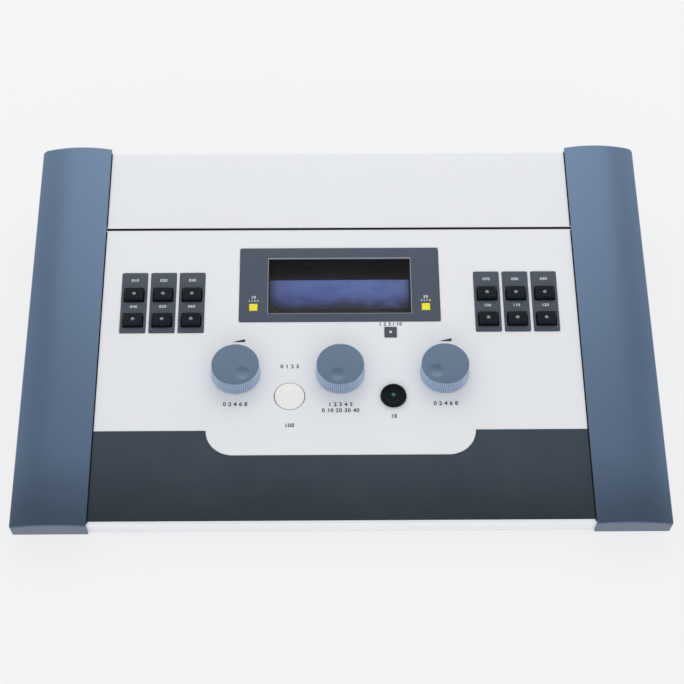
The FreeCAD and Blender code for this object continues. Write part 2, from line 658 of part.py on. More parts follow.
def base_pan():
    """The lower tub: a floor, four walls that stop under the panel, board bosses and bottom vents."""
    pan = new_body("pan_body")
    side = sketch(pan, "YZ_Plane", "pan_side")
    top = "-panel_thick - pan_clearance"
    outline(side, [
        ("-pan_front", "foot_height"),
        ("pan_rear", "foot_height"),
        ("pan_rear", slope_z("pan_rear", top)),
        ("-pan_front", slope_z("-pan_front", top)),
    ])
    extrude(pan, "Pad", side, "chassis_width", middle=True)

    room = sketch(pan, "XY_Plane", "pan_room", "pan_floor")
    length = "pan_rear + pan_front - 2 * wall"
    rectangle(room, "0", "(pan_rear - pan_front) / 2", "chassis_width - 2 * wall", length)
    extrude(pan, "Pocket", room, "overall_depth", reverse=True)
    doorway = sketch(pan, "XZ_Plane", "rear_doorway", "-pan_rear - wall")
    rectangle(doorway, "0", "pan_floor + wall + panel_z", "doorway_width", "2 * panel_z")
    extrude(pan, "Pocket", doorway, "3 * wall", reverse=True)

    bosses = sketch(pan, "XY_Plane", "board_bosses", "pan_floor")
    for x, y in BOARD_BOSSES:
        circle(bosses, x, y, "post_radius")
    extrude(pan, "Pad", bosses, "main_board_z - pan_floor")

    vents = sketch(pan, "XY_Plane", "bottom_vents", "pan_floor + wall")
    for row in range(-4, 5):
        rectangle(vents, f"{row} * vent_pitch", "vent_y", "vent_width", "vent_length")
    extrude(pan, "Pocket", vents, "3 * wall")

    holes = sketch(pan, "XY_Plane", "floor_holes", "pan_floor + wall")
    sinks = sketch(pan, "XY_Plane", "floor_sinks", "foot_height + wall / 2")
    for x, y in PANEL_POSTS + COVER_POSTS:
        circle(holes, x, y, "screw_radius + screw_hole")
        circle(sinks, x, y, "screw_head + screw_sink")
    extrude(pan, "Pocket", holes, "3 * wall")
    extrude(pan, "Pocket", sinks, "wall")
    side_holes = sketch(pan, "YZ_Plane", "side_holes")
    for y, z in CHEEK_SCREWS:
        circle(side_holes, y, z, "screw_radius + screw_hole")
    extrude(pan, "Pocket", side_holes, "overall_width", middle=True)
    keep(pan, "base_pan")


def posts(name, shell, spots, inside):
    """Add upright screw posts under a tilted shell, from the pan's floor to inside the shell's wall."""
    columns = []
    pilots = []
    for number, (x, y) in enumerate(spots):
        columns.append(rod(f"{name}_post_{number}", x, y, "pan_floor", slope_z(y, inside), "post_radius"))
        depth = "pan_floor + screw_bite + pilot_spare"
        pilots.append(rod(f"{name}_pilot_{number}", x, y, "foot_height", depth, "pilot_radius"))
    return cut(name + "_drilled", fuse(name + "_posted", [shell] + columns), pilots)


def band_outline(drawing, gap, side_gap):
    """The wrist band with the tongue's bay in its rear edge, widened by gap."""
    half = f"chassis_width / 2 + {side_gap}"
    rear = f"-band_rear + {gap}"
    bay = f"tongue_half - {gap}"
    bay_front = f"-tongue_front + {gap}"
    bay_round = f"tongue_round - {gap}"
    bulge = f"({bay_round}) * (1 - cos(45))"
    outline(drawing, [
        (f"-({half})", f"-band_front - {gap}"),
        (half, f"-band_front - {gap}"),
        (half, rear),
        (bay, rear),
        (bay, "-band_rear - tongue_straight"),
        (f"{bay} - ({bay_round})", bay_front),
        (f"-({bay}) + {bay_round}", bay_front),
        (f"-({bay})", "-band_rear - tongue_straight"),
        (f"-({bay})", rear),
        (f"-({half})", rear),
    ], arcs={4: (bulge, bay_round), 6: (bulge, bay_round)})


def key_places():
    """Every key: its side, its number from the left and from the top, and its centre on the panel."""
    for side, sign in SIDES.items():
        for row, up in enumerate(("key_upper", "key_lower")):
            for column in range(3):
                steps = 2 - column if sign < 0 else column
                yield side, 3 * row + column + 1, f"{sign} * (key_inner + {steps} * key_pitch)", up


def front_panel():
    """The white panel with its apron, let in for the band, bezel and plates, and pierced for the controls."""
    shell = new_body("panel_body")
    side = sketch(shell, "YZ_Plane", "panel_side")
    outline(side, [
        ("-panel_front", "0"),
        ("-panel_front + apron_lean", "-apron_drop"),
        ("-panel_front + apron_lean + panel_thick", "-apron_drop"),
        ("-panel_front + panel_thick", "-panel_thick"),
        ("panel_rear", "-panel_thick"),
        ("panel_rear", "0"),
    ])
    extrude(shell, "Pad", side, "chassis_width", middle=True)
    front = value("-panel_front")
    dress(shell, "Fillet", "apron_round", lambda edge: abs(edge.BoundBox.YMax - front) < TINY)

    band = sketch(shell, "XY_Plane", "band_recess")
    band_outline(band, "fit_gap", "wall")
    extrude(shell, "Pocket", band, "band_thick")

    trims = sketch(shell, "XY_Plane", "trim_recess")
    rectangle(trims, "0", "0", "bezel_width + 2 * fit_gap", "bezel_height + 2 * fit_gap")
    rectangle(trims, "mic_across", "mic_up", "mic_size + 2 * fit_gap", "mic_size + 2 * fit_gap")
    for sign in SIDES.values():
        for column in range(3):
            rectangle(trims, f"{sign} * (key_inner + {column} * key_pitch)", "plate_up",
                      "plate_width + 2 * fit_gap", "plate_height + 2 * fit_gap")
    extrude(shell, "Pocket", trims, "trim_sink")

    holes = sketch(shell, "XY_Plane", "panel_holes")
    lens_room = [f"{size} + 2 * (lens_overlap + fit_gap)" for size in ("window_width", "window_height")]
    rectangle(holes, "0", "window_centre", *lens_room)
    lamp_room = "lamp_size + 4 * lamp_fit"
    for sign in SIDES.values():
        rectangle(holes, f"{sign} * lamp_across", "lamp_up", lamp_room, lamp_room)
    for _side, _number, across, up in key_places():
        rectangle(holes, across, up, "key_width + 2 * key_gap", "key_height + 2 * key_gap")
    for across, _angle in KNOBS.values():
        circle(holes, across, "knob_up", "bushing_radius + bushing_gap")
    circle(holes, "signal_across", "signal_up", "signal_radius + signal_gap")
    circle(holes, "save_across", "save_up", "save_radius + save_gap")
    circle(holes, "mic_across", "mic_up", "mic_can_radius + mic_can_gap")
    extrude(shell, "Pocket", holes, "2 * panel_thick")
    tilted(shell)
    keep(posts("panel", shell, PANEL_POSTS, "-(panel_thick + band_thick) / 2"), "front_panel")


def rear_cover():
    """The white cover behind the seam, in the panel's plane, with a lip that hangs over the sockets."""
    shell = new_body("cover_body")
    side = sketch(shell, "YZ_Plane", "cover_side")
    outline(side, [
        ("cover_front", "0"),
        ("cover_rear", "0"),
        ("cover_rear - lip_drop * sin(slope)", "-lip_drop * cos(slope)"),
        ("cover_rear - lip_drop * sin(slope) - cover_thick", "-lip_drop * cos(slope)"),
        ("cover_rear - cover_thick * (1 + sin(slope))", "-cover_thick"),
        ("cover_front", "-cover_thick"),
    ])
    extrude(shell, "Pad", side, "chassis_width", middle=True)
    rear = value("cover_rear")
    dress(shell, "Fillet", "cover_round", lambda edge: abs(edge.BoundBox.YMin - rear) < TINY)
    tilted(shell)
    keep(posts("cover", shell, COVER_POSTS, "-cover_thick / 2"), "rear_cover")


def seam_gasket():
    strip = block("gasket_strip", "0", "(panel_rear + cover_front) / 2", "chassis_width",
                  "cover_front - panel_rear", "-cover_thick", "-seam_depth")
    keep(strip, "seam_gasket", on_panel=True)


def wrist_band():
    band = new_body("band_body")
    drawing = sketch(band, "XY_Plane", "band_outline", "-band_thick")
    band_outline(drawing, "0", "0")
    extrude(band, "Pad", drawing, "band_thick")
    keep(band, "wrist_band", on_panel=True)


def rubber_feet():
    corners = [(x, y) for y in ("-foot_along", "foot_along") for x in ("-foot_across", "foot_across")]
    feet = [rod(f"foot_{number}", x, y, "0", "foot_height", "foot_radius")
            for number, (x, y) in enumerate(corners)]
    keep(group("feet", feet), "rubber_feet")


def case_screws():
    """Equal pan-head screws: upright into the posts, level through the pan's sides into the cheeks."""
    screws = []
    seat = "foot_height + wall / 2"
    for number, (x, y) in enumerate(PANEL_POSTS + COVER_POSTS):
        head = rod(f"head_{number}", x, y, "foot_height", seat, "screw_head")
        shank = rod(f"shank_{number}", x, y, seat, "pan_floor + screw_bite", "screw_radius")
        screws.append(fuse(f"screw_{number}", [head, shank]))
    inner = "chassis_width / 2 - wall"
    tip = f"{inner} + wall / 2 + wall + screw_bite"
    for side, sign in SIDES.items():
        spans = {"head": (f"{inner} - wall / 2", inner, "screw_head"), "shank": (inner, tip, "screw_radius")}
        for number, (y, z) in enumerate(CHEEK_SCREWS):
            pieces = []
            for piece, (near, far, radius) in spans.items():
                low, high = (near, far) if sign > 0 else (f"-({far})", f"-({near})")
                pieces.append(rod_along_x(f"{side}_{piece}_{number}", y, z, low, high, radius))
            screws.append(fuse(f"{side}_screw_{number}", pieces))
    keep(group("screws", screws), "case_screws")


# The display


def display_bezel():
    """The dark plate round the window, with two lamp holes."""
    bezel = new_body("bezel_body")
    plate = sketch(bezel, "XY_Plane", "bezel_plate", "-trim_sink")
    rectangle(plate, "0", "0", "bezel_width", "bezel_height")
    extrude(bezel, "Pad", plate, "trim_sink + trim_proud")
    dress(bezel, "Fillet", "bezel_round", upright)
    holes = sketch(bezel, "XY_Plane", "bezel_holes", "trim_proud")
    rectangle(holes, "0", "window_centre", "window_width", "window_height")
    lamp_room = "lamp_size + 2 * lamp_fit"
    for sign in SIDES.values():
        rectangle(holes, f"{sign} * lamp_across", "lamp_up", lamp_room, lamp_room)
    extrude(bezel, "Pocket", holes, "2 * panel_thick")
    face = level_at("trim_proud")
    edge_of_window = value("window_width / 2") + TINY
    shortest = value("window_height") - TINY

    def round_window(edge):
        box = edge.BoundBox
        return face(edge) and max(-box.XMin, box.XMax) < edge_of_window and box.DiagonalLength > shortest

    dress(bezel, "Chamfer", "window_chamfer", round_window)
    keep(bezel, "display_bezel", on_panel=True)


def behind_window(name, width, height, low, high):
    return block(name, "0", "window_centre", width, height, low, high)


def display():
    """Behind the window: lens, light shroud, the module's metal frame, its glass and its board."""
    wide = "window_width + 2 * lens_overlap"
    tall = "window_height + 2 * lens_overlap"
    lens_back = "-trim_sink - lens_thick"
    frame_face = "-display_depth"
    keep(behind_window("lens", wide, tall, lens_back, "-trim_sink"), "window_lens", on_panel=True)

    walls = behind_window("shroud_walls", wide, tall, frame_face, lens_back)
    tunnel = behind_window("shroud_tunnel", "window_width", "window_height", f"{frame_face} - wall", "0")
    keep(cut("shroud", walls, [tunnel]), "lcd_shroud", on_panel=True)

    glass_face = f"{frame_face} - frame_lip"
    glass_size = ("glass_width + 2 * glass_margin", "glass_height + 2 * glass_margin")
    seat_size = [f"{size} + 2 * frame_fit" for size in glass_size]
    frame = behind_window("frame", "frame_width", "frame_height", "frame_back", frame_face)
    opening = behind_window("frame_opening", "glass_width", "glass_height", "frame_back", "0")
    seat = behind_window("frame_seat", *seat_size, "frame_back - wall", glass_face)
    keep(cut("lcd_rim", frame, [opening, seat]), "lcd_frame", on_panel=True)
    keep(behind_window("glass", *glass_size, "frame_back", glass_face), "lcd_glass", on_panel=True)

    board = behind_window("board_behind_glass", "lcd_board_width", "lcd_board_height",
                          "frame_back - board_thick", "frame_back")
    keep(board, "lcd_board", on_panel=True)


def display_ribbon():
    """The flat cable from the display board down to the main board, as a thin strip with two bends."""
    ribbon = new_body("ribbon_body")
    path = sketch(ribbon, "YZ_Plane", "ribbon_path")
    start, bend, end = "panel_y + ribbon_start", "panel_y + ribbon_bend", "panel_y + ribbon_end"
    under_board = slope_z(start, "frame_back - board_thick - fit_gap")
    socket_top = "board_top + socket_height"
    bend_z = f"{socket_top} + ribbon_rise"
    outline(path, [
        (start, under_board),
        (bend, bend_z),
        (end, socket_top),
        (f"{end} + ribbon_thick", socket_top),
        (f"{bend} + ribbon_thick", bend_z),
        (f"{start} + ribbon_thick", under_board),
    ])
    extrude(ribbon, "Pad", path, "ribbon_width", middle=True)
    keep(ribbon, "display_ribbon")


def lamp_lenses():
    for name, sign in (("response_lamp_lens", -1), ("power_lamp_lens", 1)):
        across = f"{sign} * lamp_across"
        top = "trim_proud - lamp_fit"
        lens = block(name + "_block", across, "lamp_up", "lamp_size", "lamp_size", "-lamp_sink", top)
        keep(lens, name, on_panel=True)


# Keys, buttons and knobs


def key_plates():
    """Three dark label plates on each side, each with holes for two keys."""
    hole = ("key_width + 2 * key_gap", "key_height + 2 * key_gap", "-panel_thick", "panel_thick")
    for side, sign in SIDES.items():
        plates = []
        for column in range(3):
            across = f"{sign} * (key_inner + {column} * key_pitch)"
            name = f"{side}_plate_{column}"
            size = ("plate_width", "plate_height", "-trim_sink", "trim_proud")
            slab = block(name + "_slab", across, "plate_up", *size)
            rounded = round_off(name + "_rounded", slab, "plate_round", upright)
            holes = [block(f"{name}_{up}", across, up, *hole) for up in ("key_upper", "key_lower")]
            plates.append(cut(name, rounded, holes))
        keep(group(side + "_plates", plates), side + "_key_plates", on_panel=True)


def key_caps():
    """Hollow caps with rounded edges, each with a bore round its light pipe."""
    for side, number, across, up in key_places():
        name = f"{side}_key_{number}"
        cap = new_body(name + "_body")
        base = sketch(cap, "XY_Plane", name + "_base", "-key_skirt")
        rectangle(base, across, up, "key_width", "key_height")
        extrude(cap, "Pad", base, "key_skirt + key_top")
        dress(cap, "Fillet", "key_corner", upright)
        dress(cap, "Fillet", "key_edge", level_at("key_top"))
        room = sketch(cap, "XY_Plane", name + "_room", "-key_skirt")
        rectangle(room, across, up, "key_width - 2 * key_wall", "key_height - 2 * key_wall")
        extrude(cap, "Pocket", room, "key_skirt + key_top - key_wall", reverse=True)
        bore = sketch(cap, "XY_Plane", name + "_bore", "key_top")
        circle(bore, across, up, "light_bore")
        extrude(cap, "Pocket", bore, "2 * key_wall")
        keep(cap, name, on_panel=True)


def key_switches():
    size = ("key_width - 2 * key_switch_margin", "key_height - 2 * key_switch_margin")
    switches = []
    for side, number, across, up in key_places():
        name = f"{side}_switch_{number}"
        case = block(name + "_case", across, up, *size, "key_board_top", "key_board_top + key_switch_height")
        bore = rod(name + "_bore", across, up, "key_board_top - wall", "0", "light_bore")
        switches.append(cut(name, case, [bore]))
    keep(group("switches", switches), "key_switches", on_panel=True)


def boards():
    """Circuit boards under the keys, and under the knobs and round buttons."""
    size = ("key_board_width", "key_board_height", "key_board_top - board_thick", "key_board_top")
    key_boards = [block(side + "_board", f"{sign} * (key_inner + key_pitch)", "plate_up", *size)
                  for side, sign in SIDES.items()]
    keep(group("key_board_pair", key_boards), "key_boards", on_panel=True)
    size = ("control_board_width", "control_board_height")
    control = block("board_under_knobs", "0", "control_board_up", *size,
                    "-control_board_drop - board_thick", "-control_board_drop")
    keep(control, "control_board", on_panel=True)


def panel_leds():
    """Light pipes of the keys and of the save button, and the lamps' own two diodes."""
    key_span = ("key_board_top", "key_top - light_sink")
    pipes = [rod(f"{side}_light_{number}", across, up, *key_span, "light_radius")
             for side, number, across, up in key_places()]
    save_span = ("-control_board_drop", "save_top - light_sink")
    pipes.append(rod("save_light", "save_across", "save_up", *save_span, "light_radius"))
    for side, sign in SIDES.items():
        across = f"{sign} * lamp_across"
        pipes.append(rod(side + "_diode", across, "lamp_up", "frame_back", "-lamp_sink", "light_radius"))
    keep(group("leds", pipes), "panel_leds", on_panel=True)


def round_button(name, edge):
    """A hollow round cap with a stem, and a flange that keeps it under the panel."""
    place_on_panel = (f"{name}_across", f"{name}_up")
    radius, top = f"{name}_radius", f"{name}_top"
    button = new_body(name + "_body")
    disc = sketch(button, "XY_Plane", name + "_disc", "-button_skirt")
    circle(disc, *place_on_panel, radius)
    extrude(button, "Pad", disc, f"button_skirt + {top}")
    dress(button, "Fillet", edge, level_at(top))
    flange = sketch(button, "XY_Plane", name + "_flange", "-panel_thick - stop_gap - flange_thick")
    circle(flange, *place_on_panel, f"{radius} + flange_reach")
    extrude(button, "Pad", flange, "flange_thick")
    room = sketch(button, "XY_Plane", name + "_room", "-button_skirt")
    circle(room, *place_on_panel, f"{radius} - button_wall")
    circle(room, *place_on_panel, "button_stem")
    extrude(button, "Pocket", room, f"button_skirt + {top} - button_wall", reverse=True)
    return button


def round_buttons():
    """The signal and save buttons, each over its switch; a light pipe passes through the save button."""
    keep(round_button("signal", "signal_edge"), "signal_button", on_panel=True)
    save = round_button("save", "key_edge")
    bore = sketch(save, "XY_Plane", "save_bore", "save_top")
    circle(bore, "save_across", "save_up", "light_bore")
    extrude(save, "Pocket", bore, "2 * button_skirt")
    keep(save, "save_button", on_panel=True)

    cases = [block(name + "_case", f"{name}_across", f"{name}_up", "button_switch", "button_switch",
                   "-control_board_drop", f"-button_skirt - {name}_travel - stop_gap")
             for name in ("signal", "save")]
    passage = rod("save_passage", "save_across", "save_up", "-control_board_drop - wall", "0", "light_bore")
    cases[1] = cut("save_switch", cases[1], [passage])
    keep(group("switch_pair", cases), "button_switches", on_panel=True)


def knob(name, across, angle):
    """A slightly tapered hollow knob with a finger dimple, and the shaft that it is pressed on."""
    skirt = doc.addObject("Part::Cone", name + "_skirt")
    bind(skirt, Radius1="knob_radius", Radius2="knob_crown", Height="knob_top - knob_gap")
    place(skirt, across, "knob_up", "knob_gap")
    rounded = round_off(name + "_rounded", skirt, "knob_edge", level_at("knob_top"))
    ball = "(dimple_radius ^ 2 + dimple_depth ^ 2) / (2 * dimple_depth)"
    dimple = bind(doc.addObject("Part::Sphere", name + "_dimple"), Radius=ball)
    place(dimple, f"{across} + dimple_arm * cos({angle})", f"knob_up + dimple_arm * sin({angle})",
          f"knob_top - dimple_depth + {ball}")
    hollow = rod(name + "_hollow", across, "knob_up", "0", "knob_roof", "knob_hollow")
    socket = rod(name + "_socket", across, "knob_up", "0", "shaft_top", "shaft_radius")
    keep(cut(name + "_turned", rounded, [hollow, socket, dimple]), name + "_knob", on_panel=True)
    shaft = rod(name + "_rod", across, "knob_up", "-shaft_foot", "shaft_top", "shaft_radius")
    keep(shaft, name + "_shaft", on_panel=True)


def encoder(name, across):
    """An endless encoder's case with its bushing, and the ring nut that holds it to the panel."""
    case = block(name + "_case", across, "knob_up", "encoder_size", "encoder_size",
                 "-control_board_drop", "-encoder_head")
    bushing = rod(name + "_bushing", across, "knob_up", "-encoder_head", "bushing_top", "bushing_radius")
    well = rod(name + "_well", across, "knob_up", "-shaft_foot - stop_gap", "bushing_top + wall",
               "shaft_radius + shaft_clearance")
    ring = rod(name + "_ring", across, "knob_up", "0", "nut_thick", "bushing_radius + nut_grip")
    thread = rod(name + "_thread", across, "knob_up", "-wall", "nut_thick + wall", "bushing_radius")
    housing = cut(name + "_encoder", fuse(name + "_encoder_case", [case, bushing]), [well])
    return housing, cut(name + "_nut", ring, [thread])


def knobs():
    """Three knobs on the shafts of three encoders."""
    housings, nuts = [], []
    for name, (across, angle) in KNOBS.items():
        knob(name, across, angle)
        housing, nut = encoder(name, across)
        housings.append(housing)
        nuts.append(nut)
    keep(group("encoders", housings), "encoder_bodies", on_panel=True)
    keep(group("nuts", nuts), "encoder_nuts", on_panel=True)


def microphone():
    trim = block("mic_plate", "mic_across", "mic_up", "mic_size", "mic_size", "-trim_sink", "trim_proud")
    hole = rod("mic_bore", "mic_across", "mic_up", "-panel_thick", "panel_thick", "mic_hole")
    keep(cut("mic_drilled", trim, [hole]), "mic_trim", on_panel=True)
    capsule = rod("mic_can", "mic_across", "mic_up", "-mic_can_foot", "-trim_sink", "mic_can_radius")
    keep(capsule, "mic_capsule", on_panel=True)


# The inside and the rear


# Main board parts: place from the board's middle, width, depth and height.
CHIPS = {
    "signal_processor": ("-62", "9.5", "24", "24", "2.2"),
    "controller": ("-20", "13.5", "18", "18", "1.8"),
    "memory": ("10", "13.5", "12", "18", "1.4"),
    "left_relay": ("main_board_width / 2 - 18", "5.5", "16", "10", "10"),
    "right_relay": ("main_board_width / 2 - 18", "20.5", "16", "10", "10"),
    "crystal": ("-2", "27.5", "11", "5", "3.5"),
    "key_socket": ("main_board_width / 2 - 32", "-46.5", "20", "6", "6"),
    "power_socket": ("12 - main_board_width / 2", "-26.5", "14", "8", "8"),
}
CAPACITORS = {"first_capacitor": "32", "second_capacitor": "45"}


def main_board():
    """The main board on the pan's bosses, with its larger components."""
    size = ("main_board_width", "main_board_depth", "main_board_z", "board_top")
    keep(block("board_block", "0", "main_board_y", *size), "main_board")
    items = [block(name, x, f"main_board_y + {y}", width, depth, "board_top", f"board_top + {height}")
             for name, (x, y, width, depth, height) in CHIPS.items()]
    items.append(block("ribbon_socket", "0", "panel_y + ribbon_end + ribbon_thick / 2", "socket_width",
                       "socket_depth", "board_top", "board_top + socket_height"))
    items += [rod(name, x, "main_board_y + 13.5", "board_top", "board_top + 12", "5")
              for name, x in CAPACITORS.items()]
    keep(group("components", items), "board_components")


def power_module():
    """A potted supply brick on the pan's floor, beside the main board."""
    brick = block("power_brick", "supply_x", "supply_y", "supply_width", "supply_depth",
                  "pan_floor", "pan_floor + supply_height")
    keep(round_off("power_brick_rounded", brick, "supply_round", upright), "power_module")


def jack_places():
    return [f"jack_first + {number} * jack_pitch" for number in range(5)]


def rear_plate():
    """The connector plate between the cheeks, pierced for sockets, ports and the rocker."""
    middle = "pan_rear + rear_plate_thick / 2"
    through = "3 * rear_plate_thick"
    plate = block("plate_slab", "0", middle, "rear_plate_width", "rear_plate_thick",
                  "foot_height + rear_plate_lift",
                  slope_z("plate_face", "-cover_thick") + " - rear_plate_drop")
    tools = [rod_along_y(f"jack_hole_{number}", x, "jack_z", "pan_rear - wall", "plate_face + wall",
                         "neck_radius + bushing_gap") for number, x in enumerate(jack_places())]
    low, high = "board_top - cutout_gap", "board_top + port_height + cutout_gap"
    for name in ("port", "inlet"):
        width = f"{name}_width + 2 * cutout_gap"
        tools.append(block(name + "_hole", name + "_x", middle, width, through, low, high))
    half = "(rocker_half + rocker_sweep + switch_end + cutout_gap)"
    width = "rocker_width + 2 * (rocker_gap + switch_wall + cutout_gap)"
    low, high = f"rocker_z - {half}", f"rocker_z + {half}"
    tools.append(block("rocker_hole", "rocker_x", middle, width, through, low, high))
    keep(cut("plate_pierced", plate, tools), "rear_panel")


def phone_sockets():
    """Five 6.35 mm sockets on the main board, held to the connector plate by ring nuts."""
    jacks, nuts = [], []
    mouth = "plate_face + neck_reach"
    beyond = f"{mouth} + wall"
    for number, x in enumerate(jack_places()):
        case = block(f"jack_case_{number}", x, "pan_rear - jack_length / 2", "jack_width", "jack_length",
                     "board_top", "jack_z + jack_head")
        neck = rod_along_y(f"jack_neck_{number}", x, "jack_z", "pan_rear", mouth, "neck_radius")
        bore = rod_along_y(f"jack_bore_{number}", x, "jack_z", f"{mouth} - jack_depth", beyond, "jack_radius")
        jacks.append(cut(f"jack_{number}", fuse(f"jack_solid_{number}", [case, neck]), [bore]))
        ring = rod_along_y(f"jack_ring_{number}", x, "jack_z", "plate_face", "plate_face + jack_nut_thick",
                           "jack_nut_radius")
        thread = rod_along_y(f"jack_thread_{number}", x, "jack_z", "pan_rear", beyond, "neck_radius")
        nuts.append(cut(f"jack_nut_{number}", ring, [thread]))
    keep(group("jacks", jacks), "phone_jacks")
    keep(group("jack_rings", nuts), "jack_nuts")


def ports():
    """A square data port with a tongue, and a round supply inlet with a pin."""
    mouth = "plate_face + port_reach"
    axis = "(board_top + port_height / 2)"
    shell = block("port_shell", "port_x", f"{mouth} - port_depth / 2", "port_width", "port_depth",
                  "board_top", "board_top + port_height")
    inside = "port_width - 2 * port_wall"
    hollow = block("port_mouth", "port_x", mouth, inside, "port_depth",
                   f"{axis} - port_height / 2 + port_wall", f"{axis} + port_height / 2 - port_wall")
    tongue = block("port_bar", "port_x", f"{mouth} - port_depth / 4 - port_wall", "port_tongue_width",
                   "port_depth / 2", f"{axis} - port_tongue / 2", f"{axis} + port_tongue / 2")
    keep(fuse("port", [cut("port_open", shell, [hollow]), tongue]), "data_port")

    case = block("inlet_case", "inlet_x", f"{mouth} - inlet_depth / 2", "inlet_width", "inlet_depth",
                 "board_top", "board_top + port_height")
    floor = f"{mouth} - 3 * inlet_depth / 4"
    bore = rod_along_y("inlet_hollow", "inlet_x", axis, floor, f"{mouth} + wall", "inlet_bore")
    pin = rod_along_y("inlet_contact", "inlet_x", axis, f"{floor} - wall / 2", f"{mouth} - wall", "inlet_pin")
    keep(fuse("inlet", [cut("inlet_open", case, [bore]), pin]), "supply_inlet")


def power_switch():
    """A rocker on two short pins in its housing; it rests tilted to off."""
    room_width = "rocker_width + 2 * rocker_gap"
    room_half = "(rocker_half + rocker_sweep)"
    box_width = f"{room_width} + 2 * switch_wall"
    half = f"({room_half} + switch_end)"
    back = "plate_face - switch_depth"
    box = block("switch_box", "rocker_x", f"({back} + plate_face) / 2", box_width, "switch_depth",
                f"rocker_z - {half}", f"rocker_z + {half}")
    rim = block("switch_face", "rocker_x", "plate_face + switch_rim / 2", f"{box_width} + 2 * switch_rim",
                "switch_rim", f"rocker_z - {half} - switch_rim", f"rocker_z + {half} + switch_rim")
    room_depth = "2 * (switch_depth + switch_rim - wall)"
    room = block("switch_room", "rocker_x", "plate_face + switch_rim", room_width, room_depth,
                 f"rocker_z - {room_half}", f"rocker_z + {room_half}")
    reach = "(rocker_width / 2 + rocker_pin_reach + shaft_clearance)"
    holes = rod_along_x("pin_holes", "rocker_y", "rocker_z", f"rocker_x - {reach}", f"rocker_x + {reach}",
                        "rocker_pin + shaft_clearance")
    keep(cut("switch_shell", fuse("switch_solid", [box, rim]), [room, holes]), "power_switch_housing")

    rocker = new_body("rocker_body")
    profile = sketch(rocker, "YZ_Plane", "rocker_profile")
    outline(profile, [
        ("-rocker_back", "-rocker_half / 2"),
        ("-rocker_dish", "-rocker_half"),
        ("rocker_face", "-rocker_half"),
        ("rocker_face - rocker_dish", "0"),
        ("rocker_face", "rocker_half"),
        ("-rocker_dish", "rocker_half"),
        ("-rocker_back", "rocker_half / 2"),
    ])
    extrude(rocker, "Pad", profile, "rocker_width", middle=True)
    pins = sketch(rocker, "YZ_Plane", "rocker_pins")
    circle(pins, "0", "0", "rocker_pin")
    extrude(rocker, "Pad", pins, "rocker_width + 2 * rocker_pin_reach", middle=True)
    place(turned(rocker, "rocker_rest"), "rocker_x", "rocker_y", "rocker_z")
    keep(rocker, "power_rocker")


def export():
    """Check every object and write each sub-part's file."""
    doc.recompute()
    faults = [item.Label for item in doc.Objects if "Invalid" in item.State or "Error" in item.State]
    faults += [item.Label for item in parts if item.Shape.isNull() or not item.Shape.isValid()]
    if faults:
        raise RuntimeError(f"these did not build: {faults}")
    os.makedirs("parts", exist_ok=True)
    for item in parts:
        item.Shape.exportStep(f"parts/{item.Label}.step")
        box = item.Shape.optimalBoundingBox()
        spans = f"X {box.XMin:8.2f} {box.XMax:8.2f}  Y {box.YMin:8.2f} {box.YMax:8.2f}"
        spans += f"  Z {box.ZMin:7.2f} {box.ZMax:7.2f}"
        print(f"{item.Label:24} {len(item.Shape.Solids):3} solids {item.Shape.Volume:10.1f} mm3  {spans}")


fill_sheet()
cheeks()
base_pan()
front_panel()
rear_cover()
seam_gasket()
wrist_band()
rubber_feet()
case_screws()
display_bezel()
display()
display_ribbon()
lamp_lenses()
key_plates()
key_caps()
key_switches()
boards()
panel_leds()
round_buttons()
knobs()
microphone()
main_board()
power_module()
rear_plate()
phone_sockets()
ports()
power_switch()
export()
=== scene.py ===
import json
import logging
import math
from collections.abc import Callable, Iterator, Sequence
from contextlib import contextmanager
from dataclasses import dataclass
from enum import Enum

import bmesh
import bpy
from mathutils import Matrix, Vector


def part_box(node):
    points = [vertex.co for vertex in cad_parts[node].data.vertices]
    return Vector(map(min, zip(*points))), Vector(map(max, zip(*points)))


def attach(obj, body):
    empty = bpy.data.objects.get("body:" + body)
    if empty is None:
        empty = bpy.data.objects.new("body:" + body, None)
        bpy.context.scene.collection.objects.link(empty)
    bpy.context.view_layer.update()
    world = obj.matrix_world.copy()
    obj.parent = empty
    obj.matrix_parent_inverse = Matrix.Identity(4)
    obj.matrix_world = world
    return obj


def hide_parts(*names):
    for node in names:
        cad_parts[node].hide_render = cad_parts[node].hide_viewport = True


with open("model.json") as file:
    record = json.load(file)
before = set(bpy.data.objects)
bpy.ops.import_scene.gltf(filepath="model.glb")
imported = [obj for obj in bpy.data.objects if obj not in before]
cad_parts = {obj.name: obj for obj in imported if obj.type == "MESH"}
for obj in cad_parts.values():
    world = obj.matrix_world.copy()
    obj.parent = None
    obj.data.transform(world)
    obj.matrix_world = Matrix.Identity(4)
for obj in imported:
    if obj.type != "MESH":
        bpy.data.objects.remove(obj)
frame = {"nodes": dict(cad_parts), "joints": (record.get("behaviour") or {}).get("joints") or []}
LOG = logging.getLogger("audiometer")
MM = 0.001
# Two places that are closer than this count as one.
HAIR = MM / 100
CONSOLE = "console"
# The numbers of the keys on each side, which stand in two rows.
KEYS = range(1, 7)
KEYS_IN_ROW = 3


# The bench: selecting, shaping and finishing one mesh at a time


class Side(Enum):
    """The two halves of the console, as signs along X."""

    LEFT = -1
    RIGHT = 1


class Joinery(Enum):
    """What is done with a second mesh, as the Boolean modifier names it."""

    CUT = "DIFFERENCE"
    WELD = "UNION"


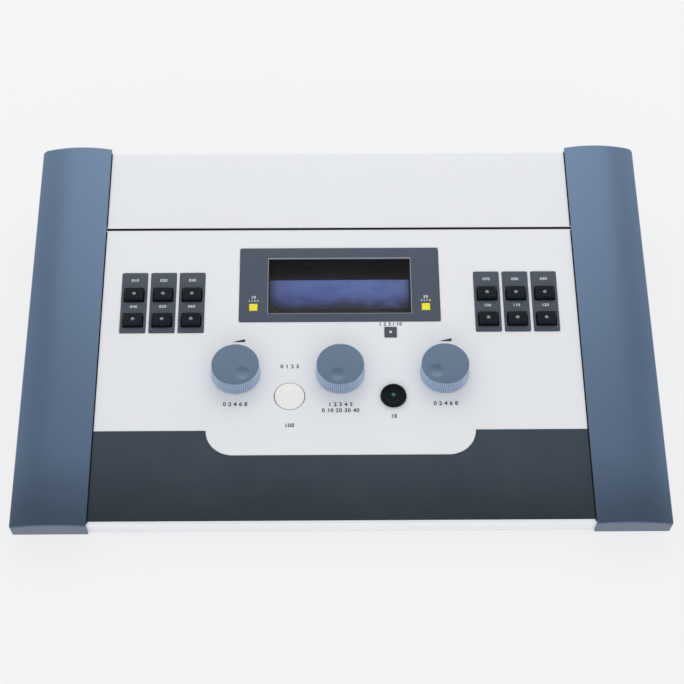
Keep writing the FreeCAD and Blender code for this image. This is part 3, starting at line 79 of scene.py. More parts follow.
class Bench:
    """Hand operations on one mesh, which lies in the frame that it is drawn in until it is settled."""

    @staticmethod
    def clear() -> None:
        """Leave edit mode and let go of everything."""
        if bpy.context.mode != "OBJECT":
            bpy.ops.object.mode_set(mode="OBJECT")
        bpy.ops.object.select_all(action="DESELECT")

    @staticmethod
    def hold(piece: bpy.types.Object) -> None:
        """Select one piece alone and make it active.

        Args:
            piece: The piece.
        """
        Bench.clear()
        piece.select_set(True)
        bpy.context.view_layer.objects.active = piece

    @staticmethod
    def named(name: str) -> bpy.types.Object:
        """Name the piece that was just added and bake its place into its mesh.

        Args:
            name: Its name.

        Returns:
            The piece.
        """
        piece = bpy.context.active_object
        piece.name = name
        piece.data.name = name
        bpy.ops.object.transform_apply(location=True, rotation=True, scale=True)
        return piece

    @staticmethod
    def block(name: str, low: Vector, high: Vector) -> bpy.types.Object:
        """Add a box.

        Args:
            name: The piece's name.
            low: Its lowest corner.
            high: Its highest corner.

        Returns:
            The box, with its place in its mesh.
        """
        Bench.clear()
        bpy.ops.mesh.primitive_cube_add(size=1, location=(low + high) / 2, scale=high - low)
        return Bench.named(name)

    @staticmethod
    def disc(
        name: str, centre: Vector, radius: float, low: float, high: float, sides: int = 96,
    ) -> bpy.types.Object:
        """Add an upright cylinder.

        Args:
            name: The piece's name.
            centre: A point on its axis.
            radius: Its radius.
            low: The height of its foot.
            high: The height of its top.
            sides: Its number of flats.

        Returns:
            The cylinder, with its place in its mesh.
        """
        Bench.clear()
        middle = (centre.x, centre.y, (low + high) / 2)
        bpy.ops.mesh.primitive_cylinder_add(vertices=sides, radius=radius, depth=high - low, location=middle)
        return Bench.named(name)

    @staticmethod
    @contextmanager
    def editing(piece: bpy.types.Object, kind: str = "FACE") -> Iterator[None]:
        """Open a piece in edit mode with nothing selected, and close it again.

        Args:
            piece: The piece.
            kind: What edit mode selects: VERT, EDGE or FACE.
        """
        Bench.hold(piece)
        bpy.ops.object.mode_set(mode="EDIT")
        bpy.ops.mesh.select_mode(type=kind)
        bpy.ops.mesh.select_all(action="DESELECT")
        yield
        bpy.ops.object.mode_set(mode="OBJECT")

    @staticmethod
    def pick_faces(piece: bpy.types.Object, chosen: Callable[[bmesh.types.BMFace], bool]) -> None:
        """Select just the faces that the test chooses, in edit mode.

        Args:
            piece: The piece.
            chosen: The test.
        """
        bpy.ops.mesh.select_all(action="DESELECT")
        shape = bmesh.from_edit_mesh(piece.data)
        for face in shape.faces:
            face.select_set(chosen(face))
        bmesh.update_edit_mesh(piece.data)

    @staticmethod
    def pick_edges(piece: bpy.types.Object, chosen: Callable[[bmesh.types.BMEdge], bool]) -> None:
        """Select just the edges that the test chooses, in edit mode.

        Args:
            piece: The piece.
            chosen: The test.
        """
        bpy.ops.mesh.select_all(action="DESELECT")
        shape = bmesh.from_edit_mesh(piece.data)
        for edge in shape.edges:
            if chosen(edge):
                edge.select_set(True)
        bmesh.update_edit_mesh(piece.data)

    @staticmethod
    def round_uprights(piece: bpy.types.Object, radius: float, segments: int = 5) -> None:
        """Round the upright edges of a box.

        Args:
            piece: The box.
            radius: The radius of its corners.
            segments: The number of steps in each.
        """
        with Bench.editing(piece, "EDGE"):
            Bench.pick_edges(piece, lambda edge: abs(edge.verts[0].co.z - edge.verts[1].co.z) > HAIR)
            bpy.ops.mesh.bevel(offset=radius, segments=segments, affect="EDGES")

    @staticmethod
    def round_rim(piece: bpy.types.Object, height: float, radius: float, segments: int = 3) -> None:
        """Round the edges that lie at one height, between the top and the sides.

        Args:
            piece: The piece.
            height: That height.
            radius: The radius of the rounding.
            segments: The number of steps in it.
        """

        def on_rim(edge: bmesh.types.BMEdge) -> bool:
            """Tell whether an edge lies at that height and is sharp."""
            level = all(abs(vertex.co.z - height) < HAIR for vertex in edge.verts)
            return level and len(edge.link_faces) == 2 and edge.calc_face_angle(0) > math.radians(30)

        with Bench.editing(piece, "EDGE"):
            Bench.pick_edges(piece, on_rim)
            bpy.ops.mesh.bevel(offset=radius, segments=segments, affect="EDGES")

    @staticmethod
    def crown(
        piece: bpy.types.Object, height: float, margin: float, inset: float, rise: float, rings: int = 4,
    ) -> None:
        """Swell or hollow the level top of a piece in rings.

        Args:
            piece: The piece.
            height: The height of its level top.
            margin: The width of the level edge that stays round it.
            inset: The width of each ring.
            rise: How far the middle ends above that height, or below it if negative.
            rings: The number of rings.
        """

        def is_top(face: bmesh.types.BMFace) -> bool:
            """Tell whether a face is the level top."""
            return face.normal.z > 0.999 and abs(face.calc_center_median().z - height) < HAIR

        with Bench.editing(piece):
            Bench.pick_faces(piece, is_top)
            bpy.ops.mesh.inset(thickness=margin, depth=0)
            done = 0.0
            for ring in range(1, rings + 1):
                share = rise * math.sin(math.pi / 2 * ring / rings)
                bpy.ops.mesh.inset(thickness=inset, depth=0)
                bpy.ops.transform.translate(value=(0, 0, share - done))
                done = share

    @staticmethod
    def taper(piece: bpy.types.Object, centre: Vector, across: float, along: float) -> None:
        """Narrow the level top of a piece.

        Args:
            piece: The piece.
            centre: A point on its axis.
            across: The share of its width that is left at the top.
            along: The share of its length that is left at the top.
        """
        with Bench.editing(piece):
            Bench.pick_faces(piece, lambda face: face.normal.z > 0.9)
            bpy.ops.transform.resize(value=(across, along, 1), center_override=centre)

    @staticmethod
    def press_grooves(
        piece: bpy.types.Object, centre: Vector, radius: float, ribs: int, depth: float, below: float,
    ) -> None:
        """Press every second pair of a cylinder's flats in, so that ribs stand between them.

        Args:
            piece: The cylinder, with four flats for each rib.
            centre: A point on its axis.
            radius: Its radius.
            ribs: The number of ribs.
            depth: The depth of the grooves.
            below: The height that the grooves end under.
        """
        with Bench.editing(piece, "VERT"):
            shape = bmesh.from_edit_mesh(piece.data)
            for vertex in shape.verts:
                arm = vertex.co - centre
                step = round(math.atan2(arm.y, arm.x) / math.tau * 4 * ribs) % 4
                vertex.select_set(step in (0, 1) and vertex.co.z < below)
            bmesh.update_edit_mesh(piece.data)
            pressed = (radius - depth) / radius
            bpy.ops.transform.resize(value=(pressed, pressed, 1), center_override=centre)

    @staticmethod
    def combine(piece: bpy.types.Object, how: Joinery, tools: Sequence[bpy.types.Object]) -> None:
        """Cut other meshes out of a piece or weld them to it, and throw them away.

        Args:
            piece: The piece.
            how: Whether they are cut or welded.
            tools: The other meshes.
        """
        for tool in tools:
            Bench.hold(piece)
            step = piece.modifiers.new("combine", "BOOLEAN")
            step.operation = how.value
            step.solver = "EXACT"
            step.object = tool
            bpy.ops.object.modifier_apply(modifier=step.name)
            bpy.data.objects.remove(tool)

    @staticmethod
    def carve(piece: bpy.types.Object, *tools: bpy.types.Object) -> None:
        """Cut other meshes out of a piece."""
        Bench.combine(piece, Joinery.CUT, tools)

    @staticmethod
    def weld(piece: bpy.types.Object, *tools: bpy.types.Object) -> None:
        """Weld other meshes to a piece."""
        Bench.combine(piece, Joinery.WELD, tools)

    @staticmethod
    def soften(piece: bpy.types.Object, width: float, segments: int = 2, angle: float = 40) -> None:
        """Round every edge that is sharper than an angle in degrees.

        Args:
            piece: The piece.
            width: The width of the rounding.
            segments: The number of steps in it.
            angle: The least angle that counts as sharp.
        """
        Bench.hold(piece)
        bevel = piece.modifiers.new("soft_edges", "BEVEL")
        bevel.width = width
        bevel.segments = segments
        bevel.limit_method = "ANGLE"
        bevel.angle_limit = math.radians(angle)
        bevel.use_clamp_overlap = True
        bpy.ops.object.modifier_apply(modifier=bevel.name)

    @staticmethod
    def copy(piece: bpy.types.Object, name: str, offset: Vector) -> bpy.types.Object:
        """Copy a piece with a mesh of its own, moved by an offset.

        Args:
            piece: The piece.
            name: The copy's name.
            offset: How far it is moved.

        Returns:
            The copy.
        """
        Bench.clear()
        twin = piece.copy()
        twin.data = piece.data.copy()
        bpy.context.scene.collection.objects.link(twin)
        twin.name = name
        twin.data.name = name
        twin.data.transform(Matrix.Translation(offset))
        return twin

    @staticmethod
    def join(name: str, pieces: Sequence[bpy.types.Object]) -> bpy.types.Object:
        """Join pieces into one mesh with a new name.

        Args:
            name: The new name.
            pieces: The pieces.

        Returns:
            The joined piece.
        """
        Bench.clear()
        for piece in pieces:
            piece.select_set(True)
        bpy.context.view_layer.objects.active = pieces[0]
        bpy.ops.object.join()
        return Bench.named(name)

    @staticmethod
    def written(
        name: str, words: str, size: float, centre: Vector, thick: float, bold: float,
    ) -> bpy.types.Object:
        """Add thin printed figures.

        Args:
            name: The piece's name.
            words: The figures.
            size: The height of the type.
            centre: The middle of the line.
            thick: The thickness of the ink.
            bold: How far each stroke is widened.

        Returns:
            The figures as a mesh.
        """
        Bench.clear()
        bpy.ops.object.text_add(location=centre)
        line = bpy.context.active_object
        line.data.body = words
        line.data.size = size
        line.data.extrude = thick / 2
        line.data.offset = bold
        line.data.space_character = 1.1
        line.data.align_x = "CENTER"
        line.data.align_y = "CENTER"
        line.data.resolution_u = 3
        bpy.ops.object.convert(target="MESH")
        return Bench.named(name)

    @staticmethod
    def settle(
        piece: bpy.types.Object,
        finish: bpy.types.Material,
        body: str,
        slot: str,
        stands_for: Sequence[str] = (),
        lay: Matrix | None = None,
        smooth: float = 32,
    ) -> bpy.types.Object:
        """Bring a finished piece to its place, dress it and hang it on its body.

        Args:
            piece: The piece.
            finish: Its material.
            body: The body that carries it.
            slot: The record's material slot; not used.
            stands_for: The CAD nodes that it replaces.
            lay: The matrix that carries it from the frame that it was drawn in, if that isn't the object's.
            smooth: The angle in degrees up to which edges are shaded smooth.

        Returns:
            The piece.
        """
        if lay is not None:
            piece.data.transform(lay)
        Bench.hold(piece)
        bpy.ops.object.shade_smooth_by_angle(angle=math.radians(smooth))
        even = piece.modifiers.new("even_normals", "WEIGHTED_NORMAL")
        even.keep_sharp = True
        bpy.ops.object.modifier_apply(modifier=even.name)
        piece.data.materials.clear()
        piece.data.materials.append(finish)
        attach(piece, body)
        if stands_for:
            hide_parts(*stands_for)
        LOG.info("%s rides on %s, %d faces", piece.name, body, len(piece.data.polygons))
        return piece


@dataclass(frozen=True)
class PanelFrame:
    """The sloping panel's own frame: x to the right, y up the slope and z off its face."""

    slope: float
    origin: Vector

    @classmethod
    def found(cls) -> "PanelFrame":
        """Find the panel from the axis of a knob, the display's middle and the panel's face.

        Returns:
            The frame.
        """
        joint = next(item for item in frame["joints"] if item["name"] == "frequency_turn")
        axis = Vector(joint["axis"])
        slope = math.atan2(-axis.y, axis.z)
        level = cls(slope, Vector())
        low, high = level.box("display_bezel")
        face = level.box("front_panel")[1].z
        middle = Vector(((low.x + high.x) / 2, (low.y + high.y) / 2, face))
        return cls(slope, level.matrix @ middle)

    @property
    def matrix(self) -> Matrix:
        """The matrix from the panel's frame to the object's."""
        return Matrix.Translation(self.origin) @ Matrix.Rotation(self.slope, 4, "X")

    def box(self, node: str) -> tuple[Vector, Vector]:
        """Measure a CAD node in the panel's frame.

        Args:
            node: The node's name.

        Returns:
            Its lowest and highest corners.
        """
        inward = self.matrix.inverted()
        spots = [inward @ vertex.co for vertex in frame["nodes"][node].data.vertices]
        low = Vector([min(spot[axis] for spot in spots) for axis in range(3)])
        high = Vector([max(spot[axis] for spot in spots) for axis in range(3)])
        return low, high

    def head(self, node: str) -> float:
        """Measure the radius of a round CAD node where it stands above the panel.

        Args:
            node: The node's name.

        Returns:
            The radius of its head.
        """
        low, high = self.box(node)
        inward = self.matrix.inverted()
        spots = [inward @ vertex.co for vertex in frame["nodes"][node].data.vertices]
        return max((spot - (low + high) / 2).to_2d().length for spot in spots if spot.z > -MM)


PANEL = PanelFrame.found()


# Finishes


def tint(red: int, green: int, blue: int) -> tuple[float, float, float, float]:
    """Turn a display colour of 0 to 255 into the linear colour that shaders take.

    Args:
        red: Its red part.
        green: Its green part.
        blue: Its blue part.

    Returns:
        The linear colour, opaque.
    """

    def linear(part: int) -> float:
        """Undo the display's curve for one part of the colour."""
        share = part / 255
        return share / 12.92 if share <= 0.04045 else ((share + 0.055) / 1.055) ** 2.4

    return linear(red), linear(green), linear(blue), 1.0


class Graph:
    """A node tree with short ways to add and wire its nodes."""

    def __init__(self, tree: bpy.types.NodeTree) -> None:
        """Take a tree that already exists."""
        self.tree = tree

    def add(self, kind: str, **settings: object) -> bpy.types.Node:
        """Add a node.

        Args:
            kind: Its type, without the leading ShaderNode.
            settings: Its properties, and its inputs by name with underscores for spaces.

        Returns:
            The node.
        """
        node = self.tree.nodes.new("ShaderNode" + kind)
        for name, setting in settings.items():
            if hasattr(node, name):
                setattr(node, name, setting)
            else:
                self.feed(node.inputs[name.replace("_", " ")], setting)
        return node

    def feed(self, socket: bpy.types.NodeSocket, source: object) -> None:
        """Link a socket to another socket, or set its own value.

        Args:
            socket: The socket.
            source: What it takes: another socket, a number or a colour.
        """
        if isinstance(source, bpy.types.NodeSocket):
            self.tree.links.new(source, socket)
        else:
            socket.default_value = source

    def sum(
        self, operation: str, first: object, second: object = 0.0, third: object = 0.0,
    ) -> bpy.types.NodeSocket:
        """Add a math node and give its result.

        Args:
            operation: The node's operation.
            first: Its first input.
            second: Its second input.
            third: Its third input.

        Returns:
            The result.
        """
        node = self.tree.nodes.new("ShaderNodeMath")
        node.operation = operation
        for socket, source in zip(node.inputs, (first, second, third)):
            self.feed(socket, source)
        return node.outputs[0]

    def span(
        self, value: object, low: float, high: float, start: float = 0.0, end: float = 1.0,
    ) -> bpy.types.NodeSocket:
        """Map a range smoothly onto another and give the result.

        Args:
            value: What is mapped.
            low: Where the range starts.
            high: Where it ends.
            start: What its start becomes.
            end: What its end becomes.

        Returns:
            The result.
        """
        node = self.add("MapRange", interpolation_type="SMOOTHSTEP")
        self.feed(node.inputs["Value"], value)
        for name, number in (("From Min", low), ("From Max", high), ("To Min", start), ("To Max", end)):
            node.inputs[name].default_value = number
        return node.outputs["Result"]

    def blend(self, share: object, first: object, second: object) -> bpy.types.NodeSocket:
        """Mix two colours and give the result.

        Args:
            share: How much of the second colour shows.
            first: The first colour.
            second: The second colour.

        Returns:
            The result.
        """
        node = self.tree.nodes.new("ShaderNodeMix")
        node.data_type = "RGBA"
        self.feed(node.inputs["Factor"], share)
        self.feed(node.inputs[6], first)
        self.feed(node.inputs[7], second)
        return node.outputs[2]


class Effect:
    """A shader node group that several finishes share; it is built the first time it is asked for."""

    title = ""
    inputs: tuple[tuple[str, str, object], ...] = ()
    outputs: tuple[tuple[str, str], ...] = ()

    @classmethod
    def tree(cls) -> bpy.types.NodeTree:
        """Find the group, or build it.

        Returns:
            The group.
        """
        known = bpy.data.node_groups.get(cls.title)
        if known:
            return known
        group = bpy.data.node_groups.new(cls.title, "ShaderNodeTree")
        for name, kind, default in cls.inputs:
            socket = group.interface.new_socket(name=name, in_out="INPUT", socket_type=kind)
            if default is not None:
                socket.default_value = default
        for name, kind in cls.outputs:
            group.interface.new_socket(name=name, in_out="OUTPUT", socket_type=kind)
        graph = Graph(group)
        entry = group.nodes.new("NodeGroupInput").outputs
        exit_node = group.nodes.new("NodeGroupOutput").inputs
        for name, source in cls.wire(graph, entry).items():
            graph.feed(exit_node[name], source)
        return group

    @classmethod
    def wire(cls, graph: Graph, entry: bpy.types.NodeOutputs) -> dict[str, bpy.types.NodeSocket]:
        """Wire the group's inside, and give what each output shows."""
        raise NotImplementedError

    @classmethod
    def place(cls, graph: Graph, **feeds: object) -> bpy.types.NodeOutputs:
        """Put the group in a material.

        Args:
            graph: The material's graph.
            feeds: What goes into its inputs, by name with underscores for spaces.

        Returns:
            The group node's outputs.
        """
        node = graph.tree.nodes.new("ShaderNodeGroup")
        node.node_tree = cls.tree()
        for name, source in feeds.items():
            graph.feed(node.inputs[name.replace("_", " ")], source)
        return node.outputs


class MouldedGrain(Effect):
    """Broad unevenness of a moulding, and the fine relief of its spark-eroded tool."""

    title = "moulded_grain"
    inputs = (
        ("Place", "NodeSocketVector", None),
        ("Color", "NodeSocketColor", (0.5, 0.5, 0.5, 1.0)),
        ("Unevenness", "NodeSocketFloat", 0.03),
        ("Grains per metre", "NodeSocketFloat", 3000.0),
        ("Roughness", "NodeSocketFloat", 0.45),
        ("Roughness spread", "NodeSocketFloat", 0.06),
    )
    outputs = (("Color", "NodeSocketColor"), ("Roughness", "NodeSocketFloat"), ("Height", "NodeSocketFloat"))

    @classmethod
    def wire(cls, graph: Graph, entry: bpy.types.NodeOutputs) -> dict[str, bpy.types.NodeSocket]:
        """Wire two noises, one broad and one fine.

        Args:
            graph: The group's graph.
            entry: The group's inputs.

        Returns:
            The sockets that feed its outputs, by name.
        """
        place = entry["Place"]
        broad = graph.add("TexNoise", Vector=place, Scale=28.0, Detail=4.0, Roughness=0.55).outputs["Fac"]
        fine = graph.add("TexNoise", Vector=place, Scale=entry["Grains per metre"], Detail=2.0, Roughness=0.6)
        off = graph.sum("SUBTRACT", broad, 0.5)
        brightness = graph.sum("MULTIPLY_ADD", off, entry["Unevenness"], 1.0)
        shade = graph.add("HueSaturation", Color=entry["Color"], Value=brightness)
        both = graph.sum("ADD", off, graph.sum("SUBTRACT", fine.outputs["Fac"], 0.5))
        roughness = graph.sum("MULTIPLY_ADD", both, entry["Roughness spread"], entry["Roughness"])
        return {"Color": shade.outputs["Color"], "Roughness": roughness, "Height": fine.outputs["Fac"]}


class EdgeRub(Effect):
    """Slight polish and lightening where hands and cloths rub an edge."""

    title = "edge_rub"
    inputs = (
        ("Place", "NodeSocketVector", None),
        ("Color", "NodeSocketColor", (0.5, 0.5, 0.5, 1.0)),
        ("Rubbed color", "NodeSocketColor", (0.8, 0.8, 0.8, 1.0)),
        ("Roughness", "NodeSocketFloat", 0.45),
        ("Reach", "NodeSocketFloat", 0.0004),
        ("Amount", "NodeSocketFloat", 0.4),
    )
    outputs = (("Color", "NodeSocketColor"), ("Roughness", "NodeSocketFloat"), ("Normal", "NodeSocketVector"))

    @classmethod
    def wire(cls, graph: Graph, entry: bpy.types.NodeOutputs) -> dict[str, bpy.types.NodeSocket]:
        """Compare the rounded normal with the flat one to find the edges.

        Args:
            graph: The group's graph.
            entry: The group's inputs.

        Returns:
            The sockets that feed its outputs, by name.
        """
        rounded = graph.add("Bevel", samples=6, Radius=entry["Reach"]).outputs["Normal"]
        flat = graph.add("NewGeometry").outputs["Normal"]
        likeness = graph.add("VectorMath", operation="DOT_PRODUCT")
        graph.feed(likeness.inputs[0], rounded)
        graph.feed(likeness.inputs[1], flat)
        edge = graph.span(likeness.outputs["Value"], 0.985, 0.8)
        patches = graph.add("TexNoise", Vector=entry["Place"], Scale=160.0, Detail=3.0).outputs["Fac"]
        worn = graph.sum("MULTIPLY", edge, graph.span(patches, 0.35, 0.7))
        worn = graph.sum("MULTIPLY", worn, entry["Amount"])
        colour = graph.blend(worn, entry["Color"], entry["Rubbed color"])
        roughness = graph.sum("MULTIPLY_ADD", worn, -0.12, entry["Roughness"])
        return {"Color": colour, "Roughness": roughness, "Normal": rounded}


class SettledDust(Effect):
    """A trace of dust on faces that look up, thinnest where they are wiped."""

    title = "settled_dust"
    lint = tint(205, 205, 200)
    inputs = (
        ("Place", "NodeSocketVector", None),
        ("Color", "NodeSocketColor", (0.5, 0.5, 0.5, 1.0)),
        ("Roughness", "NodeSocketFloat", 0.45),
        ("Amount", "NodeSocketFloat", 0.05),
    )
    outputs = (("Color", "NodeSocketColor"), ("Roughness", "NodeSocketFloat"))

    @classmethod
    def wire(cls, graph: Graph, entry: bpy.types.NodeOutputs) -> dict[str, bpy.types.NodeSocket]:
        """Mask dust by the face's tilt and by patches.

        Args:
            graph: The group's graph.
            entry: The group's inputs.

        Returns:
            The sockets that feed its outputs, by name.
        """
        tilt = graph.add("SeparateXYZ", Vector=graph.add("NewGeometry").outputs["Normal"]).outputs["Z"]
        patches = graph.add("TexNoise", Vector=entry["Place"], Scale=45.0, Detail=6.0, Roughness=0.7)
        film = graph.span(patches.outputs["Fac"], 0.4, 0.75)
        film = graph.sum("MULTIPLY", graph.span(tilt, 0.2, 1.0), film)
        share = graph.sum("MULTIPLY", film, entry["Amount"])
        colour = graph.blend(share, entry["Color"], cls.lint)
        roughness = graph.sum("MULTIPLY_ADD", share, 0.8, entry["Roughness"])
        return {"Color": colour, "Roughness": roughness}


class HandDarkening(Effect):
    """Painted shade: a darker tone toward the front edge, standing in for the darker reflections that the
    front of the console shows.
    """

    title = "hand_darkening"
    fade = 56 * MM
    wander = 16 * MM
    inputs = (
        ("Place", "NodeSocketVector", None),
        ("Color", "NodeSocketColor", (0.5, 0.5, 0.5, 1.0)),
        ("Amount", "NodeSocketFloat", 0.3),
    )
    outputs = (("Color", "NodeSocketColor"),)

    @classmethod
    def wire(cls, graph: Graph, entry: bpy.types.NodeOutputs) -> dict[str, bpy.types.NodeSocket]:
        """Darken along the console's depth, with a soft uneven border: painted shade toward the front.

        Args:
            graph: The group's graph.
            entry: The group's inputs.

        Returns:
            The sockets that feed its outputs, by name.
        """
        front = (PANEL.matrix @ Vector((0, PANEL.box("wrist_band")[0].y, 0))).y
        depth = graph.add("SeparateXYZ", Vector=entry["Place"]).outputs["Y"]
        border_noise = graph.add("TexNoise", Vector=entry["Place"], Scale=14.0, Detail=3.0).outputs["Fac"]
        border = graph.sum("MULTIPLY_ADD", border_noise, cls.wander, depth)
        share = graph.sum("MULTIPLY", graph.span(border, front, front + cls.fade, 1.0, 0.0), entry["Amount"])
        shade = graph.add("HueSaturation", Color=entry["Color"], Value=graph.sum("SUBTRACT", 1.0, share))
        return {"Color": shade.outputs["Color"]}


def empty_material(name: str) -> tuple[bpy.types.Material, Graph, bpy.types.Node]:
    """Start a material.

    Args:
        name: Its name.

    Returns:
        The material, its graph and its Principled shader.
    """
    material = bpy.data.materials.new(name)
    material.use_nodes = True
    graph = Graph(material.node_tree)
    return material, graph, material.node_tree.nodes["Principled BSDF"]


@dataclass(frozen=True)
class Plastic:
    """A moulded, painted or filmed plastic face."""

    name: str
    colour: tuple[float, float, float, float]
    rubbed: tuple[float, float, float, float]
    roughness: float = 0.42
    unevenness: float = 0.05
    grains: float = 2600.0
    relief: float = 0.10
    reach: float = 0.35 * MM
    rub: float = 0.25
    dust: float = 0.03
    specular: float = 0.5
    coat: float = 0.0
    coat_roughness: float = 0.12
    flakes: float = 0.0
    darkening: float = 0.0
    relief_depth: float = 0.05 * MM

    def build(self) -> bpy.types.Material:
        """Make the material.

        Returns:
            The material.
        """
        material, graph, shader = empty_material(self.name)
        shader.inputs["Metallic"].default_value = self.flakes
        place = graph.add("TexCoord").outputs["Object"]
        grain = MouldedGrain.place(
            graph, Place=place, Color=self.colour, Unevenness=self.unevenness,
            Grains_per_metre=self.grains, Roughness=self.roughness,
        )
        rub = EdgeRub.place(
            graph, Place=place, Color=grain["Color"], Rubbed_color=self.rubbed,
            Roughness=grain["Roughness"], Reach=self.reach, Amount=self.rub,
        )
        dust = SettledDust.place(
            graph, Place=place, Color=rub["Color"], Roughness=rub["Roughness"], Amount=self.dust,
        )
        colour = dust["Color"]
        # painted shade toward the front edge, in place of darker reflections there
        if self.darkening:
            colour = HandDarkening.place(graph, Place=place, Color=colour, Amount=self.darkening)["Color"]
        bump = graph.add("Bump", Strength=self.relief, Distance=self.relief_depth, Height=grain["Height"])
        graph.feed(bump.inputs["Normal"], rub["Normal"])
        graph.feed(shader.inputs["Base Color"], colour)
        graph.feed(shader.inputs["Roughness"], dust["Roughness"])
        graph.feed(shader.inputs["Normal"], bump.outputs["Normal"])
        shader.inputs["Specular IOR Level"].default_value = self.specular
        shader.inputs["Coat Weight"].default_value = self.coat
        shader.inputs["Coat Roughness"].default_value = self.coat_roughness
        return material


@dataclass(frozen=True)
class Metal:
    """A turned, plated or rolled metal face."""

    name: str
    colour: tuple[float, float, float, float]
    roughness: float = 0.3
    spread: float = 0.2
    unevenness: float = 0.12
    grains: float = 900.0
    relief: float = 0.12
    relief_depth: float = 0.03 * MM
    rubbed: tuple[float, float, float, float] = tint(235, 235, 235)
    reach: float = 0.2 * MM
    rub: float = 0.3
    dust: float = 0.03

    def build(self) -> bpy.types.Material:
        """Make the material.

        Returns:
            The material.
        """
        material, graph, shader = empty_material(self.name)
        place = graph.add("TexCoord").outputs["Object"]
        grain = MouldedGrain.place(
            graph, Place=place, Color=self.colour, Unevenness=self.unevenness,
            Grains_per_metre=self.grains, Roughness=self.roughness, Roughness_spread=self.spread,
        )
        rub = EdgeRub.place(
            graph, Place=place, Color=grain["Color"], Rubbed_color=self.rubbed,
            Roughness=grain["Roughness"], Reach=self.reach, Amount=self.rub,
        )
        dust = SettledDust.place(
            graph, Place=place, Color=rub["Color"], Roughness=rub["Roughness"], Amount=self.dust,
        )
        bump = graph.add("Bump", Strength=self.relief, Distance=self.relief_depth, Height=grain["Height"])
        graph.feed(bump.inputs["Normal"], rub["Normal"])
        graph.feed(shader.inputs["Base Color"], dust["Color"])
        graph.feed(shader.inputs["Roughness"], dust["Roughness"])
        graph.feed(shader.inputs["Normal"], bump.outputs["Normal"])
        shader.inputs["Metallic"].default_value = 1.0
        return material


@dataclass(frozen=True)
class Glowing:
    """A translucent coloured plastic that carries some light of its own."""

    name: str
    colour: tuple[float, float, float, float]
    glow: float
    roughness: float = 0.25
    unevenness: float = 0.1
    grains: float = 1500.0
    coat: float = 0.1

    def build(self) -> bpy.types.Material:
        """Make the material.

        Returns:
            The material.
        """
        material, graph, shader = empty_material(self.name)
        place = graph.add("TexCoord").outputs["Object"]
        grain = MouldedGrain.place(
            graph, Place=place, Color=self.colour, Unevenness=self.unevenness,
            Grains_per_metre=self.grains, Roughness=self.roughness,
        )
        graph.feed(shader.inputs["Base Color"], grain["Color"])
        graph.feed(shader.inputs["Emission Color"], grain["Color"])
        graph.feed(shader.inputs["Roughness"], grain["Roughness"])
        shader.inputs["Emission Strength"].default_value = self.glow
        shader.inputs["Coat Weight"].default_value = self.coat
        return material


@dataclass(frozen=True)
class ClearPlastic:
    """The clear acrylic of the display window."""

    name: str = "window_acrylic"
    colour: tuple[float, float, float, float] = tint(250, 251, 255)
    roughness: float = 0.03
    smear: float = 3.0
    ior: float = 1.12

    def build(self) -> bpy.types.Material:
        """Make the material.

        Returns:
            The material.
        """
        material, graph, shader = empty_material(self.name)
        place = graph.add("TexCoord").outputs["Object"]
        smears = graph.add("TexNoise", Vector=place, Scale=55.0, Detail=5.0, Roughness=0.65).outputs["Fac"]
        smeared = graph.span(smears, 0.3, 0.8, self.roughness, self.roughness * self.smear)
        graph.feed(shader.inputs["Roughness"], smeared)
        shader.inputs["Base Color"].default_value = self.colour
        shader.inputs["Transmission Weight"].default_value = 1.0
        shader.inputs["IOR"].default_value = self.ior
        return material


